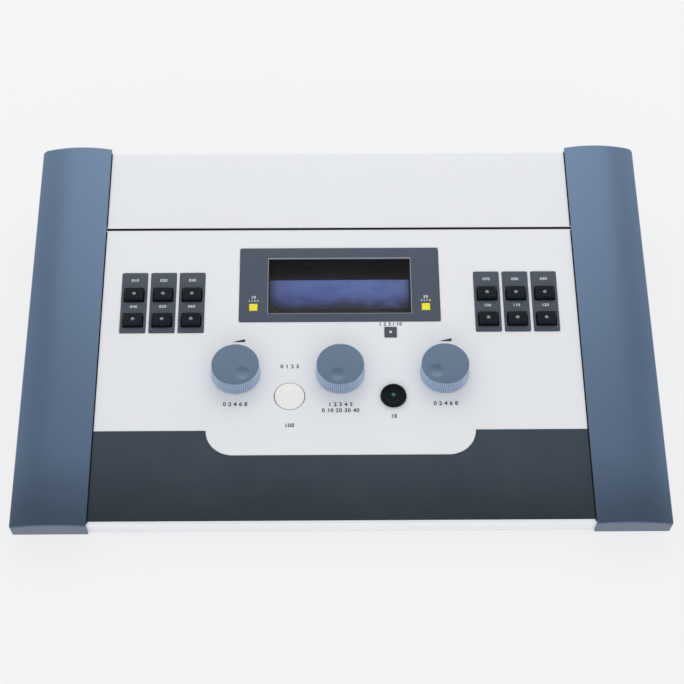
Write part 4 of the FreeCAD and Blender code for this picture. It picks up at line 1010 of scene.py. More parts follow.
@dataclass(frozen=True)
class LiquidCrystal:
    """The display's blue face over a fine grid of dots, with painted light: a glow that stands in for the
    light reaching it through the window, and painted shade at its foot and ends where the shroud shadows it.
    """

    name: str = "liquid_crystal"
    bright: tuple[float, float, float, float] = tint(112, 130, 196)
    deep: tuple[float, float, float, float] = tint(58, 80, 150)
    dark: tuple[float, float, float, float] = tint(22, 24, 34)
    # painted light: this glow stands in for the light that reaches the face through the window
    glow: float = 0.24
    dot: float = 0.55 * MM
    margin: float = 2 * MM
    roughness: float = 0.3

    def build(self) -> bpy.types.Material:
        """Make the material.

        Returns:
            The material.
        """
        material, graph, shader = empty_material(self.name)
        low, high = PANEL.box("lcd_glass")
        back = PANEL.matrix.inverted()
        mapping = graph.add("Mapping", vector_type="POINT", Vector=graph.add("TexCoord").outputs["Object"])
        mapping.inputs["Location"].default_value = back.translation
        mapping.inputs["Rotation"].default_value = back.to_euler()
        parts = graph.add("SeparateXYZ", Vector=mapping.outputs["Vector"])
        across, up = parts.outputs["X"], parts.outputs["Y"]
        place = mapping.outputs["Vector"]
        left, right = low.x + self.margin, high.x - self.margin
        bottom, top = low.y + self.margin, high.y - self.margin
        height = high.y - low.y

        # painted light: brighter toward the rear and the right, with clouds
        rise = graph.span(up, bottom, top, 0.0, 0.7)
        sweep = graph.span(across, left, right, 0.0, 0.3)
        colour = graph.blend(graph.sum("ADD", rise, sweep), self.deep, self.bright)
        clouds = graph.add("TexNoise", Vector=place, Scale=75.0, Detail=4.0).outputs["Fac"]
        colour = graph.blend(graph.span(clouds, 0.5, 0.8, 0.0, 0.5), colour, self.deep)

        # dark blots that gather toward the foot, and painted shade at the foot and the ends where the shroud
        # shadows the face
        sunk = graph.span(up, bottom, low.y + 0.6 * height, 1.0, 0.0)
        blots = graph.span(clouds, 0.4, 0.6, 0.85, 0.0)
        colour = graph.blend(graph.sum("MULTIPLY", sunk, blots), colour, self.dark)
        foot = graph.span(up, bottom, bottom + 0.2 * height, 0.85, 0.0)
        colour = graph.blend(foot, colour, self.dark)
        first = graph.span(across, left, left + 3 * self.margin, 0.6, 0.0)
        last = graph.span(across, right - 2 * self.margin, right, 0.0, 0.35)
        colour = graph.blend(graph.sum("MAXIMUM", first, last), colour, self.dark)

        # the lines between the dots
        cells = graph.add("TexVoronoi", feature="DISTANCE_TO_EDGE", Vector=place, Randomness=0.0)
        cells.inputs["Scale"].default_value = 1 / self.dot
        lines = graph.span(cells.outputs["Distance"], 0.02, 0.09, 0.12, 0.0)
        colour = graph.blend(lines, colour, self.dark)
        graph.feed(shader.inputs["Base Color"], colour)
        graph.feed(shader.inputs["Emission Color"], colour)
        shader.inputs["Emission Strength"].default_value = self.glow
        shader.inputs["Roughness"].default_value = self.roughness
        return material


@dataclass(frozen=True)
class SolderResist:
    """A circuit board: green lacquer with faint tracks under it."""

    name: str = "solder_resist"
    lacquer: tuple[float, float, float, float] = tint(28, 92, 52)
    track: tuple[float, float, float, float] = tint(52, 128, 70)
    pitch: float = 1.27 * MM
    roughness: float = 0.3

    def build(self) -> bpy.types.Material:
        """Make the material.

        Returns:
            The material.
        """
        material, graph, shader = empty_material(self.name)
        place = graph.add("TexCoord").outputs["Object"]
        cells = graph.add("TexVoronoi", feature="DISTANCE_TO_EDGE", Vector=place, Randomness=0.6)
        cells.inputs["Scale"].default_value = 1 / (4 * self.pitch)
        tracks = graph.span(cells.outputs["Distance"], 0.03, 0.06, 1.0, 0.0)
        graph.feed(shader.inputs["Base Color"], graph.blend(tracks, self.lacquer, self.track))
        bump = graph.add("Bump", Strength=0.3, Distance=0.03 * MM, Height=tracks)
        graph.feed(shader.inputs["Normal"], bump.outputs["Normal"])
        shader.inputs["Roughness"].default_value = self.roughness
        return material


class Finishes:
    """Every material of the audiometer, made once and found by its name."""

    def __init__(self) -> None:
        """Make them all."""
        listed = [
            Plastic(
                "white_shell", tint(240, 242, 246), tint(250, 250, 250), roughness=0.36, unevenness=0.02,
                specular=0.3,
            ),
            Plastic(
                "cover_shell", tint(238, 240, 243), tint(250, 250, 250), roughness=0.34, unevenness=0.02,
                specular=0.3,
            ),
            Plastic("base_shell", tint(186, 189, 194), tint(215, 217, 220), roughness=0.55, relief=0.25),
            # The cheeks and the wrist pad carry painted shade toward their front edge.
            Plastic(
                "slate_cheek", tint(106, 129, 157), tint(136, 157, 181), roughness=0.33, unevenness=0.03,
                rub=0.15, dust=0.0, flakes=0.5, darkening=0.42,
            ),
            Plastic(
                "wrist_pad", tint(57, 68, 80), tint(82, 92, 102), roughness=0.32, dust=0.015, relief=0.2,
                grains=2000.0, darkening=0.42,
            ),
            Plastic("soft_rubber", tint(30, 31, 33), tint(52, 53, 55), roughness=0.8, relief=0.4, dust=0.12),
            Plastic(
                # Dark rubber for the seam, also worn by the strips that paint the shadow of the gaps beside
                # the cheeks.
                "seal_rubber", tint(12, 12, 15), tint(34, 34, 38), roughness=0.6, dust=0.01,
                specular=0.2,
            ),
            Plastic(
                "bezel_film", tint(71, 81, 98), tint(104, 114, 130), roughness=0.36, unevenness=0.04,
                dust=0.015, specular=0.4,
            ),
            Plastic(
                "plate_film", tint(72, 81, 94), tint(104, 114, 126), roughness=0.4, unevenness=0.05,
                dust=0.015, specular=0.4,
            ),
            # A lighter copy of the bezel film for the window's bevelled edge: a painted highlight.
            Plastic("window_trim", tint(162, 164, 176), tint(196, 198, 206), roughness=0.35),
            Plastic("black_plastic", tint(13, 13, 14), tint(50, 50, 50), roughness=0.6),
            Plastic("black_lacquer", tint(20, 20, 20), tint(60, 60, 60), roughness=0.5),
            Plastic("flat_cable", tint(176, 178, 180), tint(200, 200, 200), roughness=0.5),
            Plastic(
                "key_cap", tint(14, 24, 32), tint(36, 46, 54), roughness=0.5, relief=0.2, rub=0.1,
                dust=0.008, specular=0.16,
            ),
            Plastic("signal_cap", tint(248, 248, 246), tint(252, 252, 250), roughness=0.26, unevenness=0.03),
            Plastic(
                "save_cap", tint(12, 17, 25), tint(36, 41, 48), roughness=0.42, dust=0.006,
                specular=0.12,
            ),
            Plastic(
                "slate_knob", tint(117, 138, 162), tint(166, 182, 200), roughness=0.3, unevenness=0.03,
                reach=0.12 * MM, dust=0.01, flakes=0.5,
            ),
            # A lighter copy of the knob plastic for the ribs' ridges: a painted highlight.
            Plastic(
                "slate_grip", tint(174, 195, 218), tint(196, 210, 226), roughness=0.4, unevenness=0.03,
                reach=0.12 * MM, dust=0.01, flakes=0.4,
            ),
            Plastic("supply_case", tint(46, 46, 48), tint(70, 70, 70), roughness=0.6, relief=0.3),
            Plastic(
                "plate_paint", tint(74, 82, 92), tint(130, 136, 142), roughness=0.5, relief=0.35,
                grains=3500.0,
            ),
            Plastic("socket_plastic", tint(28, 28, 30), tint(60, 60, 62), roughness=0.45),
            Plastic("rocker_gloss", tint(14, 14, 16), tint(48, 48, 50), roughness=0.2, coat=0.4, dust=0.01),
            Plastic("dark_ink", tint(52, 56, 64), tint(52, 56, 64), roughness=0.5, rub=0.0),
            Plastic("light_ink", tint(232, 235, 238), tint(232, 235, 238), roughness=0.5, rub=0.0),
            Metal("zinc_screw", tint(168, 170, 172), roughness=0.35),
            Metal("cast_alloy", tint(176, 178, 180), roughness=0.4),
            Metal("nickel_nut", tint(205, 203, 198), roughness=0.22),
            Metal("tin_shell", tint(188, 190, 190), roughness=0.34),
            Metal("turned_steel", tint(180, 181, 183), roughness=0.28),
            Glowing("yellow_lamp", tint(234, 224, 0), glow=0.14),
            Glowing("frosted_light", tint(124, 140, 146), glow=0.1, roughness=0.4),
            Glowing("teal_light", tint(44, 104, 98), glow=0.12, roughness=0.4),
            ClearPlastic(),
            LiquidCrystal(),
            SolderResist(),
        ]
        self.made = {finish.name: finish.build() for finish in listed}

    def __getitem__(self, name: str) -> bpy.types.Material:
        """Give the material of that name."""
        return self.made[name]


# What the CAD nodes that stay are dressed in.
NODE_FINISHES = {
    "white_shell": ("front_panel",),
    "cover_shell": ("rear_cover",),
    "base_shell": ("base_pan",),
    "slate_cheek": ("left_cheek", "right_cheek"),
    "wrist_pad": ("wrist_band",),
    "soft_rubber": ("rubber_feet",),
    "seal_rubber": ("seam_gasket",),
    "bezel_film": ("display_bezel",),
    "plate_film": ("left_key_plates", "right_key_plates", "mic_trim"),
    "window_acrylic": ("window_lens",),
    "black_plastic": ("lcd_shroud", "key_switches", "board_components", "button_switches"),
    "black_lacquer": ("lcd_frame",),
    "liquid_crystal": ("lcd_glass",),
    "solder_resist": ("lcd_board", "key_boards", "control_board", "main_board"),
    "flat_cable": ("display_ribbon",),
    "supply_case": ("power_module",),
    "plate_paint": ("rear_panel",),
    "socket_plastic": ("phone_jacks", "supply_inlet", "power_switch_housing"),
    "rocker_gloss": ("power_rocker",),
    "zinc_screw": ("case_screws",),
    "cast_alloy": ("encoder_bodies", "mic_capsule"),
    "nickel_nut": ("encoder_nuts", "jack_nuts"),
    "tin_shell": ("data_port",),
    "turned_steel": ("left_level_shaft", "frequency_shaft", "right_level_shaft"),
    "yellow_lamp": ("response_lamp_lens", "power_lamp_lens"),
    "frosted_light": ("panel_leds",),
    "key_cap": tuple(f"{side}_key_{number}" for side in ("left", "right") for number in KEYS),
    "signal_cap": ("signal_button",),
    "save_cap": ("save_button",),
    "slate_knob": ("left_level_knob", "frequency_knob", "right_level_knob"),
}


def dress_nodes(finishes: Finishes) -> None:
    """Give every CAD node its finish.

    Args:
        finishes: The materials.
    """
    for finish, nodes in NODE_FINISHES.items():
        for node in nodes:
            for slot in frame["nodes"][node].material_slots:
                slot.material = finishes[finish]
            LOG.info("%s wears %s", node, finish)


# The sub-assemblies


# Where each knob's dimple lies round its axis at rest, in degrees.
DIMPLE_BEARINGS = {"left_level": -54.0, "frequency": -103.0, "right_level": -137.0}


@dataclass
class Knob:
    """One ribbed knob with a finger dimple."""

    node: str
    dimple_bearing: float
    ribs: int = 72
    rib_depth: float = 0.4 * MM
    collar: float = 0.9 * MM
    run_out: float = 0.4 * MM
    rim: float = 0.55 * MM
    dimple_radius: float = 4.2 * MM
    dimple_depth: float = 0.2 * MM
    dimple_arm: float = 7.2 * MM
    wall: float = 4.8 * MM
    crust: float = 5.2 * MM
    shaft_cover: float = 2.1 * MM
    taper: float = 0.4 * MM
    socket_radius: float = 3 * MM
    lip_round: float = 0.5 * MM

    def build(self, finishes: Finishes) -> bpy.types.Object:
        """Model the knob over its CAD node.

        Args:
            finishes: The materials.

        Returns:
            The knob.
        """
        low, high = PANEL.box(self.node + "_knob")
        centre = (low + high) / 2
        radius = (high.x - low.x) / 2
        piece = Bench.disc(self.node + "_ribbed_knob", centre, radius, low.z, high.z, sides=4 * self.ribs)
        narrow = (radius - self.taper) / radius
        Bench.taper(piece, centre, narrow, narrow)
        self.flute(piece, centre, radius, high.z)
        Bench.round_rim(piece, high.z, self.rim, segments=4)
        self.hollow(piece, centre, low.z, high.z)
        piece = Bench.settle(
            piece, finishes["slate_knob"], self.node + "_control", "knob_plastic",
            [self.node + "_knob"], PANEL.matrix, smooth=40,
        )
        # The ridges of the fluted side take the lighter copy as a painted highlight; the grooves and the top
        # keep the knob's own colour.
        piece.data.materials.append(finishes["slate_grip"])
        up = PANEL.matrix.to_3x3() @ Vector((0, 0, 1))
        axis = PANEL.matrix @ centre
        for face in piece.data.polygons:
            arm = face.center - axis
            arm -= up * arm.dot(up)
            face.material_index = int(abs(face.normal.dot(up)) < 0.5 and arm.length > radius - self.rib_depth)
        return piece

    def flute(self, piece: bpy.types.Object, centre: Vector, radius: float, top: float) -> None:
        """Press the grooves between the ribs, below a plain collar.

        Args:
            piece: The knob.
            centre: The middle of its box.
            radius: Its radius.
            top: The height of its top.
        """
        shoulder = top - self.collar
        with Bench.editing(piece):
            for height in (shoulder, shoulder - self.run_out):
                bpy.ops.mesh.select_all(action="SELECT")
                bpy.ops.mesh.bisect(plane_co=(0, 0, height), plane_no=(0, 0, 1))
        Bench.press_grooves(piece, centre, radius, self.ribs, self.rib_depth, shoulder - HAIR)

    def hollow(self, piece: bpy.types.Object, centre: Vector, foot: float, top: float) -> None:
        """Cut the dimple, the hollow underside and the socket for the shaft.

        Args:
            piece: The knob.
            centre: The middle of its box.
            foot: The height of its foot.
            top: The height of its top.
        """
        crown = (PANEL.box(self.node + "_knob")[1].x - centre.x) - self.taper
        room = Bench.disc("room", centre, crown - self.wall, foot - MM, top - self.crust, sides=64)
        socket = Bench.disc("socket", centre, self.socket_radius, foot - MM, top - self.shaft_cover, sides=48)
        ball = (self.dimple_radius ** 2 + self.dimple_depth ** 2) / (2 * self.dimple_depth)
        bearing = math.radians(self.dimple_bearing)
        spot = centre + Vector((math.cos(bearing), math.sin(bearing), 0)) * self.dimple_arm
        spot.z = top - self.dimple_depth + ball
        Bench.clear()
        bpy.ops.mesh.primitive_uv_sphere_add(segments=96, ring_count=96, radius=ball, location=spot)
        Bench.carve(piece, room, socket, Bench.named("dimple"))
        lip = Vector((spot.x, spot.y, top))

        def on_lip(edge: bmesh.types.BMEdge) -> bool:
            """Tell whether an edge lies on the dimple's outline.

            Args:
                edge: The edge.

            Returns:
                True if it does.
            """
            return all(
                abs((vertex.co - lip).length - self.dimple_radius) < 5 * HAIR
                and abs(vertex.co.z - top) < 2 * HAIR
                for vertex in edge.verts
            )

        with Bench.editing(piece, "EDGE"):
            Bench.pick_edges(piece, on_lip)
            bpy.ops.mesh.bevel(offset=self.lip_round, segments=4, affect="EDGES")


@dataclass
class KeyBank:
    """The six caps of one side, bored for their light pipes."""

    side: Side
    corner: float = 0.9 * MM
    rim: float = 0.75 * MM
    draft: float = 0.6 * MM
    bore: float = 1.35 * MM
    wall: float = 1.2 * MM

    def build(self, finishes: Finishes) -> list[bpy.types.Object]:
        """Model the caps.

        Args:
            finishes: The materials.

        Returns:
            The caps.
        """
        name = self.side.name.lower()
        first = f"{name}_key_1"
        pattern = self.cap(first)
        start = self.middle(first)
        caps = []
        for number in KEYS:
            node = f"{name}_key_{number}"
            cap = Bench.copy(pattern, node + "_cap", self.middle(node) - start)
            caps.append(Bench.settle(
                cap, finishes["key_cap"], node, "key_plastic", [node], PANEL.matrix, smooth=50,
            ))
        bpy.data.objects.remove(pattern)
        return caps

    @staticmethod
    def middle(node: str) -> Vector:
        """Give the middle of a node on the panel."""
        low, high = PANEL.box(node)
        return (low + high) / 2

    def cap(self, node: str) -> bpy.types.Object:
        """Model one cap: tapered, round-edged, hollow below and bored for its light.

        Args:
            node: The CAD node that it stands for.

        Returns:
            The cap, still on the bench.
        """
        low, high = PANEL.box(node)
        middle = (low + high) / 2
        piece = Bench.block("cap_pattern", low, high)
        size = high - low
        Bench.taper(piece, middle, 1 - 2 * self.draft / size.x, 1 - 2 * self.draft / size.y)
        Bench.round_uprights(piece, self.corner, segments=6)
        Bench.round_rim(piece, high.z, self.rim, segments=5)
        inner = Vector((self.wall, self.wall, 0))
        room = Bench.block("room", low + inner - Vector((0, 0, MM)), high - inner - Vector((0, 0, self.wall)))
        light = Bench.disc("light", middle, self.bore, high.z - 2 * self.wall, high.z + MM, sides=40)
        Bench.carve(piece, room, light)
        return piece


@dataclass
class RoundButtons:
    """The white signal button and the black save button."""

    signal_rim: float = 0.5 * MM
    signal_ring: float = 1.8 * MM
    signal_swell: float = 0.42 * MM
    save_rim: float = 0.8 * MM
    save_ring: float = 0.7 * MM
    save_dish: float = 0.35 * MM
    bore: float = 1.35 * MM
    wall: float = 2.0 * MM
    flange_top: float = -3.2 * MM
    flange_foot: float = -4.6 * MM
    stem: float = 2.6 * MM

    def build(self, finishes: Finishes) -> list[bpy.types.Object]:
        """Model both buttons.

        Args:
            finishes: The materials.

        Returns:
            The buttons.
        """
        signal = self.turned("signal", self.signal_rim, self.signal_ring, self.signal_swell)
        Bench.settle(
            signal, finishes["signal_cap"], "signal_button", "button_white", ["signal_button"],
            PANEL.matrix, smooth=50,
        )
        save = self.turned("save", self.save_rim, self.save_ring, -self.save_dish)
        low, high = PANEL.box("save_button")
        light = Bench.disc("light", (low + high) / 2, self.bore, low.z - MM, high.z + MM, sides=40)
        Bench.carve(save, light)
        Bench.settle(
            save, finishes["save_cap"], "save_button", "button_black", ["save_button"],
            PANEL.matrix, smooth=50,
        )
        return [signal, save]

    def turned(self, name: str, rim: float, ring: float, rise: float) -> bpy.types.Object:
        """Turn one button: a skirt on a flange, a rounded rim and a top that swells or dips.

        Args:
            name: The button's name.
            rim: The radius of its rim.
            ring: The width of each ring of its top.
            rise: The height of the top's middle over its edge.

        Returns:
            The button, still on the bench.
        """
        low, high = PANEL.box(name + "_button")
        middle = (low + high) / 2
        reach = (high.x - low.x) / 2
        radius = PANEL.head(name + "_button")
        piece = Bench.disc(name + "_round_button", middle, radius, low.z, high.z)
        Bench.crown(piece, high.z, rim + ring / 4, ring, rise)
        Bench.round_rim(piece, high.z, rim, segments=5)
        flange = Bench.disc("flange", middle, reach, self.flange_foot, self.flange_top)
        room = Bench.disc("room", middle, radius - self.wall, low.z - MM, high.z - self.wall)
        stem = Bench.disc("stem", middle, self.stem, low.z - 2 * MM, high.z, sides=48)
        Bench.carve(room, stem)
        Bench.weld(piece, flange)
        Bench.carve(piece, room)
        return piece


@dataclass
class LightPipes:
    """The frosted light pipes that show in the middle of the keys and of the save button."""

    radius: float = 1.2 * MM
    dome: float = 0.35 * MM
    sink: float = 0.15 * MM

    def build(self, finishes: Finishes) -> bpy.types.Object:
        """Model the pipes with domed heads, and the lamps' two diodes; the save button's shines teal.

        Args:
            finishes: The materials.

        Returns:
            All but the save button's as one piece.
        """
        base = PANEL.box("panel_leds")[0].z
        rods = []
        foot = PANEL.box("key_switches")[0].z
        for node in NODE_FINISHES["key_cap"]:
            low, high = PANEL.box(node)
            rods.append(self.rod(node + "_light", (low + high) / 2, foot, high.z - self.sink))
        for node in ("response_lamp_lens", "power_lamp_lens"):
            low, high = PANEL.box(node)
            rods.append(self.rod(node + "_diode", (low + high) / 2, PANEL.box("lcd_frame")[0].z, low.z))
        low, high = PANEL.box("save_button")
        save = self.rod("save_light", (low + high) / 2, base, high.z - self.dome)
        Bench.settle(save, finishes["teal_light"], CONSOLE, "led_resin", (), PANEL.matrix, smooth=50)
        return Bench.settle(
            Bench.join("light_pipes", rods), finishes["frosted_light"], CONSOLE, "led_resin",
            ["panel_leds"], PANEL.matrix, smooth=50,
        )

    def rod(self, name: str, centre: Vector, foot: float, top: float) -> bpy.types.Object:
        """Model one pipe with a rounded head.

        Args:
            name: Its name.
            centre: A point on its axis.
            foot: The height of its foot.
            top: The height of its head.

        Returns:
            The pipe, still on the bench.
        """
        piece = Bench.disc(name, centre, self.radius, foot, top, sides=40)
        Bench.round_rim(piece, top, self.dome, segments=4)
        return piece


@dataclass
class Display:
    """A pale band round the window, a painted highlight on its bevelled edge, and the two square lamps beside
    it.
    """

    trim_width: float = 0.45 * MM
    trim_height: float = 0.12 * MM
    trim_sink: float = 0.7 * MM
    trim_bevel: float = 0.3 * MM
    shroud_lap: float = 1.1 * MM
    lamp_rise: float = 0.15 * MM
    lamp_corner: float = 0.3 * MM
    lamp_rim: float = 0.35 * MM

    def build(self, finishes: Finishes) -> list[bpy.types.Object]:
        """Model the painted highlight band and the lamps.

        Args:
            finishes: The materials.

        Returns:
            The pieces.
        """
        pieces = [self.trim(finishes)]
        for lamp in ("response_lamp", "power_lamp"):
            low, high = PANEL.box(lamp + "_lens")
            lens = Bench.block(lamp + "_cap", low, high + Vector((0, 0, self.lamp_rise)))
            Bench.round_uprights(lens, self.lamp_corner, segments=3)
            Bench.round_rim(lens, high.z + self.lamp_rise, self.lamp_rim, segments=4)
            pieces.append(Bench.settle(
                lens, finishes["yellow_lamp"], CONSOLE, "lamp_yellow", [lamp + "_lens"],
                PANEL.matrix, smooth=50,
            ))
        return pieces

    def trim(self, finishes: Finishes) -> bpy.types.Object:
        """Model the pale band that lines the window's bevelled edge: a painted highlight where the front
        light falls on it.

        Args:
            finishes: The materials.

        Returns:
            The band.
        """
        low, high = PANEL.box("lcd_shroud")
        lap = Vector((self.shroud_lap, self.shroud_lap, 0))
        inner_low = Vector((low.x, low.y, 0)) + lap
        inner_high = Vector((high.x, high.y, 0)) - lap
        face = PANEL.box("display_bezel")[1].z
        margin = Vector((self.trim_width, self.trim_width, 0))
        piece = Bench.block(
            "window_trim",
            inner_low - margin + Vector((0, 0, face - self.trim_sink)),
            inner_high + margin + Vector((0, 0, face + self.trim_height)),
        )
        through = Vector((0, 0, 10 * MM))
        opening = Bench.block("opening", inner_low - through, inner_high + through)
        Bench.carve(piece, opening)
        with Bench.editing(piece, "EDGE"):
            top = face + self.trim_height

            def inner_edge(edge: bmesh.types.BMEdge) -> bool:
                """Tell whether an edge is one of the four round the opening, at the top.

                Args:
                    edge: The edge.

                Returns:
                    True if it is.
                """
                return all(
                    abs(vertex.co.z - top) < HAIR
                    and inner_low.x - 2 * HAIR < vertex.co.x < inner_high.x + 2 * HAIR
                    for vertex in edge.verts
                )

            Bench.pick_edges(piece, inner_edge)
            bpy.ops.mesh.bevel(offset=self.trim_bevel, segments=1, affect="EDGES")
        return Bench.settle(
            piece, finishes["window_trim"], CONSOLE, "bezel_film", (), PANEL.matrix, smooth=20,
        )


class Ink(Enum):
    """The two printing inks, by the finish that each wears and the slot that it takes."""

    DARK = ("dark_ink", "band_pad")
    LIGHT = ("light_ink", "button_white")


@dataclass
class Print:
    """Plain figures and marks in the places where the console's controls are labelled."""

    thick: float = 0.05 * MM
    bold: float = 0.03
    key_type: float = 2.7 * MM
    panel_type: float = 3.5 * MM
    lamp_type: float = 1.9 * MM
    row_lifts: tuple[float, float] = (10.4, 9.7)
    lamp_lifts: tuple[float, float] = (6.9, 4.4)
    wedge_length: float = 7.4 * MM
    wedge_height: float = 2.2 * MM
    wedge_across: float = -2.4 * MM
    wedge_lift: float = 21.6 * MM
    wedge_tip: float = 0.05

    def build(self, finishes: Finishes) -> list[bpy.types.Object]:
        """Print the plates, the bezel and the panel.

        Args:
            finishes: The materials.

        Returns:
            One piece for each ink.
        """
        light = self.on_plates() + self.on_bezel()
        dark = self.on_panel() + self.wedges()
        pieces = []
        for ink, name, marks in ((Ink.LIGHT, "plate_print", light), (Ink.DARK, "panel_print", dark)):
            finish, slot = ink.value
            pieces.append(Bench.settle(
                Bench.join(name, marks), finishes[finish], CONSOLE, slot, (), PANEL.matrix,
            ))
        return pieces

    def figures(self, words: str, size: float, node: str, lift: float, face: float = 0.0) -> bpy.types.Object:
        """Print figures beside a control.

        Args:
            words: The figures.
            size: The height of the type.
            node: The control's CAD node.
            lift: How far behind the control's middle they stand, in millimetres.
            face: The height of the face that carries them.

        Returns:
            The figures.
        """
        spot = KeyBank.middle(node)
        centre = Vector((spot.x, spot.y + lift * MM, face))
        return Bench.written("figures", words, size, centre, self.thick, self.bold * size)

    def on_plates(self) -> list[bpy.types.Object]:
        """Number the keys, above each of them.

        Returns:
            The figures.
        """
        face = PANEL.box("left_key_plates")[1].z
        marks = []
        for bank, side in enumerate(("left", "right")):
            for number in KEYS:
                lift = self.row_lifts[number > KEYS_IN_ROW]
                label = f"{10 * (len(KEYS) * bank + number):03d}"
                marks.append(self.figures(label, self.key_type, f"{side}_key_{number}", lift, face))
        return marks

    def on_bezel(self) -> list[bpy.types.Object]:
        """Number the two lamps in two lines.

        Returns:
            The figures.
        """
        face = PANEL.box("display_bezel")[1].z
        marks = []
        for lamp, first in (("response_lamp_lens", 1), ("power_lamp_lens", 5)):
            line = " ".join(str(first + step) for step in range(4))
            marks.append(self.figures(f"{first}0", self.key_type, lamp, self.lamp_lifts[0], face))
            marks.append(self.figures(line, self.lamp_type, lamp, self.lamp_lifts[1], face))
        return marks

    def on_panel(self) -> list[bpy.types.Object]:
        """Number the knobs, the round buttons and the microphone.

        Returns:
            The figures.
        """
        labels = (
            ("0 2 4 6 8", self.panel_type, "left_level_knob", -20.7),
            ("1 2 3 4 5", self.panel_type, "frequency_knob", -21.1),
            ("0 10 20 30 40", self.panel_type, "frequency_knob", -25.1),
            ("0 2 4 6 8", self.panel_type, "right_level_knob", -20.7),
            ("0 1 2 3", self.panel_type, "signal_button", 20.1),
            ("100", self.panel_type, "signal_button", -19.4),
            ("10", self.panel_type, "save_button", -13.4),
            ("1 2 3 / 10", 0.9 * self.panel_type, "mic_trim", 5.6),
        )
        return [self.figures(*label) for label in labels]

    def wedges(self) -> list[bpy.types.Object]:
        """Draw the rising wedge beside each level knob.

        Returns:
            The wedges.
        """
        marks = []
        for node in ("left_level_knob", "right_level_knob"):
            spot = KeyBank.middle(node)
            tip = Vector((spot.x + self.wedge_across, spot.y + self.wedge_lift, -self.thick / 2))
            far = tip + Vector((self.wedge_length, self.wedge_height, self.thick))
            wedge = Bench.block("wedge", tip, far)
            with Bench.editing(wedge):
                Bench.pick_faces(wedge, lambda face: face.normal.x < -0.9)
                bpy.ops.transform.resize(value=(1, self.wedge_tip, 1), center_override=tip)
            marks.append(wedge)
        return marks


@dataclass(frozen=True)
class RearFrame:
    """The rear panel's own frame, as it is seen from behind: x to the right, y up and z out of it."""

    face: float
    jack_count: int = 5

    @classmethod
    def found(cls) -> "RearFrame":
        """Find the outer face of the rear panel."""
        return cls(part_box("rear_panel")[1].y)

    @property
    def matrix(self) -> Matrix:
        """The matrix from the rear panel's frame to the object's."""
        turned = Matrix(((-1, 0, 0), (0, 0, 1), (0, 1, 0))).to_4x4()
        return Matrix.Translation((0, self.face, 0)) @ turned

    def box(self, node: str) -> tuple[Vector, Vector]:
        """Measure a CAD node in the rear panel's frame.

        Args:
            node: The node's name.

        Returns:
            Its lowest and highest corners.
        """
        low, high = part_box(node)
        return Vector((-high.x, low.z, low.y - self.face)), Vector((-low.x, high.z, high.y - self.face))

    def jacks(self) -> list[Vector]:
        """Find the middles of the phone jacks, from the box round their nuts.

        Returns:
            A middle for each jack, from left to right.
        """
        low, high = self.box("jack_nuts")
        radius = (high.y - low.y) / 2
        pitch = (high.x - low.x - 2 * radius) / (self.jack_count - 1)
        return [Vector((low.x + radius + step * pitch, low.y + radius, 0)) for step in range(self.jack_count)]


REAR = RearFrame.found()


@dataclass
class JackNuts:
    """The knurled ring nuts that hold the phone jacks in the rear panel."""

    knurls: int = 30
    knurl_depth: float = 0.22 * MM
    bore: float = 5.0 * MM
    chamfer: float = 0.55 * MM

    def build(self, finishes: Finishes) -> bpy.types.Object:
        """Model one nut and set a copy on each jack.

        Args:
            finishes: The materials.

        Returns:
            The nuts as one piece.
        """
        low, high = REAR.box("jack_nuts")
        middles = REAR.jacks()
        first = middles[0]
        pattern = self.nut(first, (high.y - low.y) / 2, low.z, high.z)
        nuts = [
            Bench.copy(pattern, f"jack_nut_{number}", middle - first) for number, middle in enumerate(middles)
        ]
        bpy.data.objects.remove(pattern)
        return Bench.settle(
            Bench.join("jack_nut_set", nuts), finishes["nickel_nut"], CONSOLE, "nut_metal",
            ["jack_nuts"], REAR.matrix, smooth=25,
        )

    def nut(self, centre: Vector, radius: float, foot: float, top: float) -> bpy.types.Object:
        """Model one nut: a chamfered, knurled ring.

        Args:
            centre: A point on its axis.
            radius: Its outer radius.
            foot: The height of its seat.
            top: The height of its outer face.

        Returns:
            The nut, still on the bench.
        """
        piece = Bench.disc("nut_pattern", centre, radius, foot, top, sides=4 * self.knurls)
        Bench.round_rim(piece, top, self.chamfer, segments=2)
        below = top - 0.9 * self.chamfer
        Bench.press_grooves(piece, centre, radius, self.knurls, self.knurl_depth, below)
        Bench.carve(piece, Bench.disc("bore", centre, self.bore, foot - MM, top + MM))
        return piece


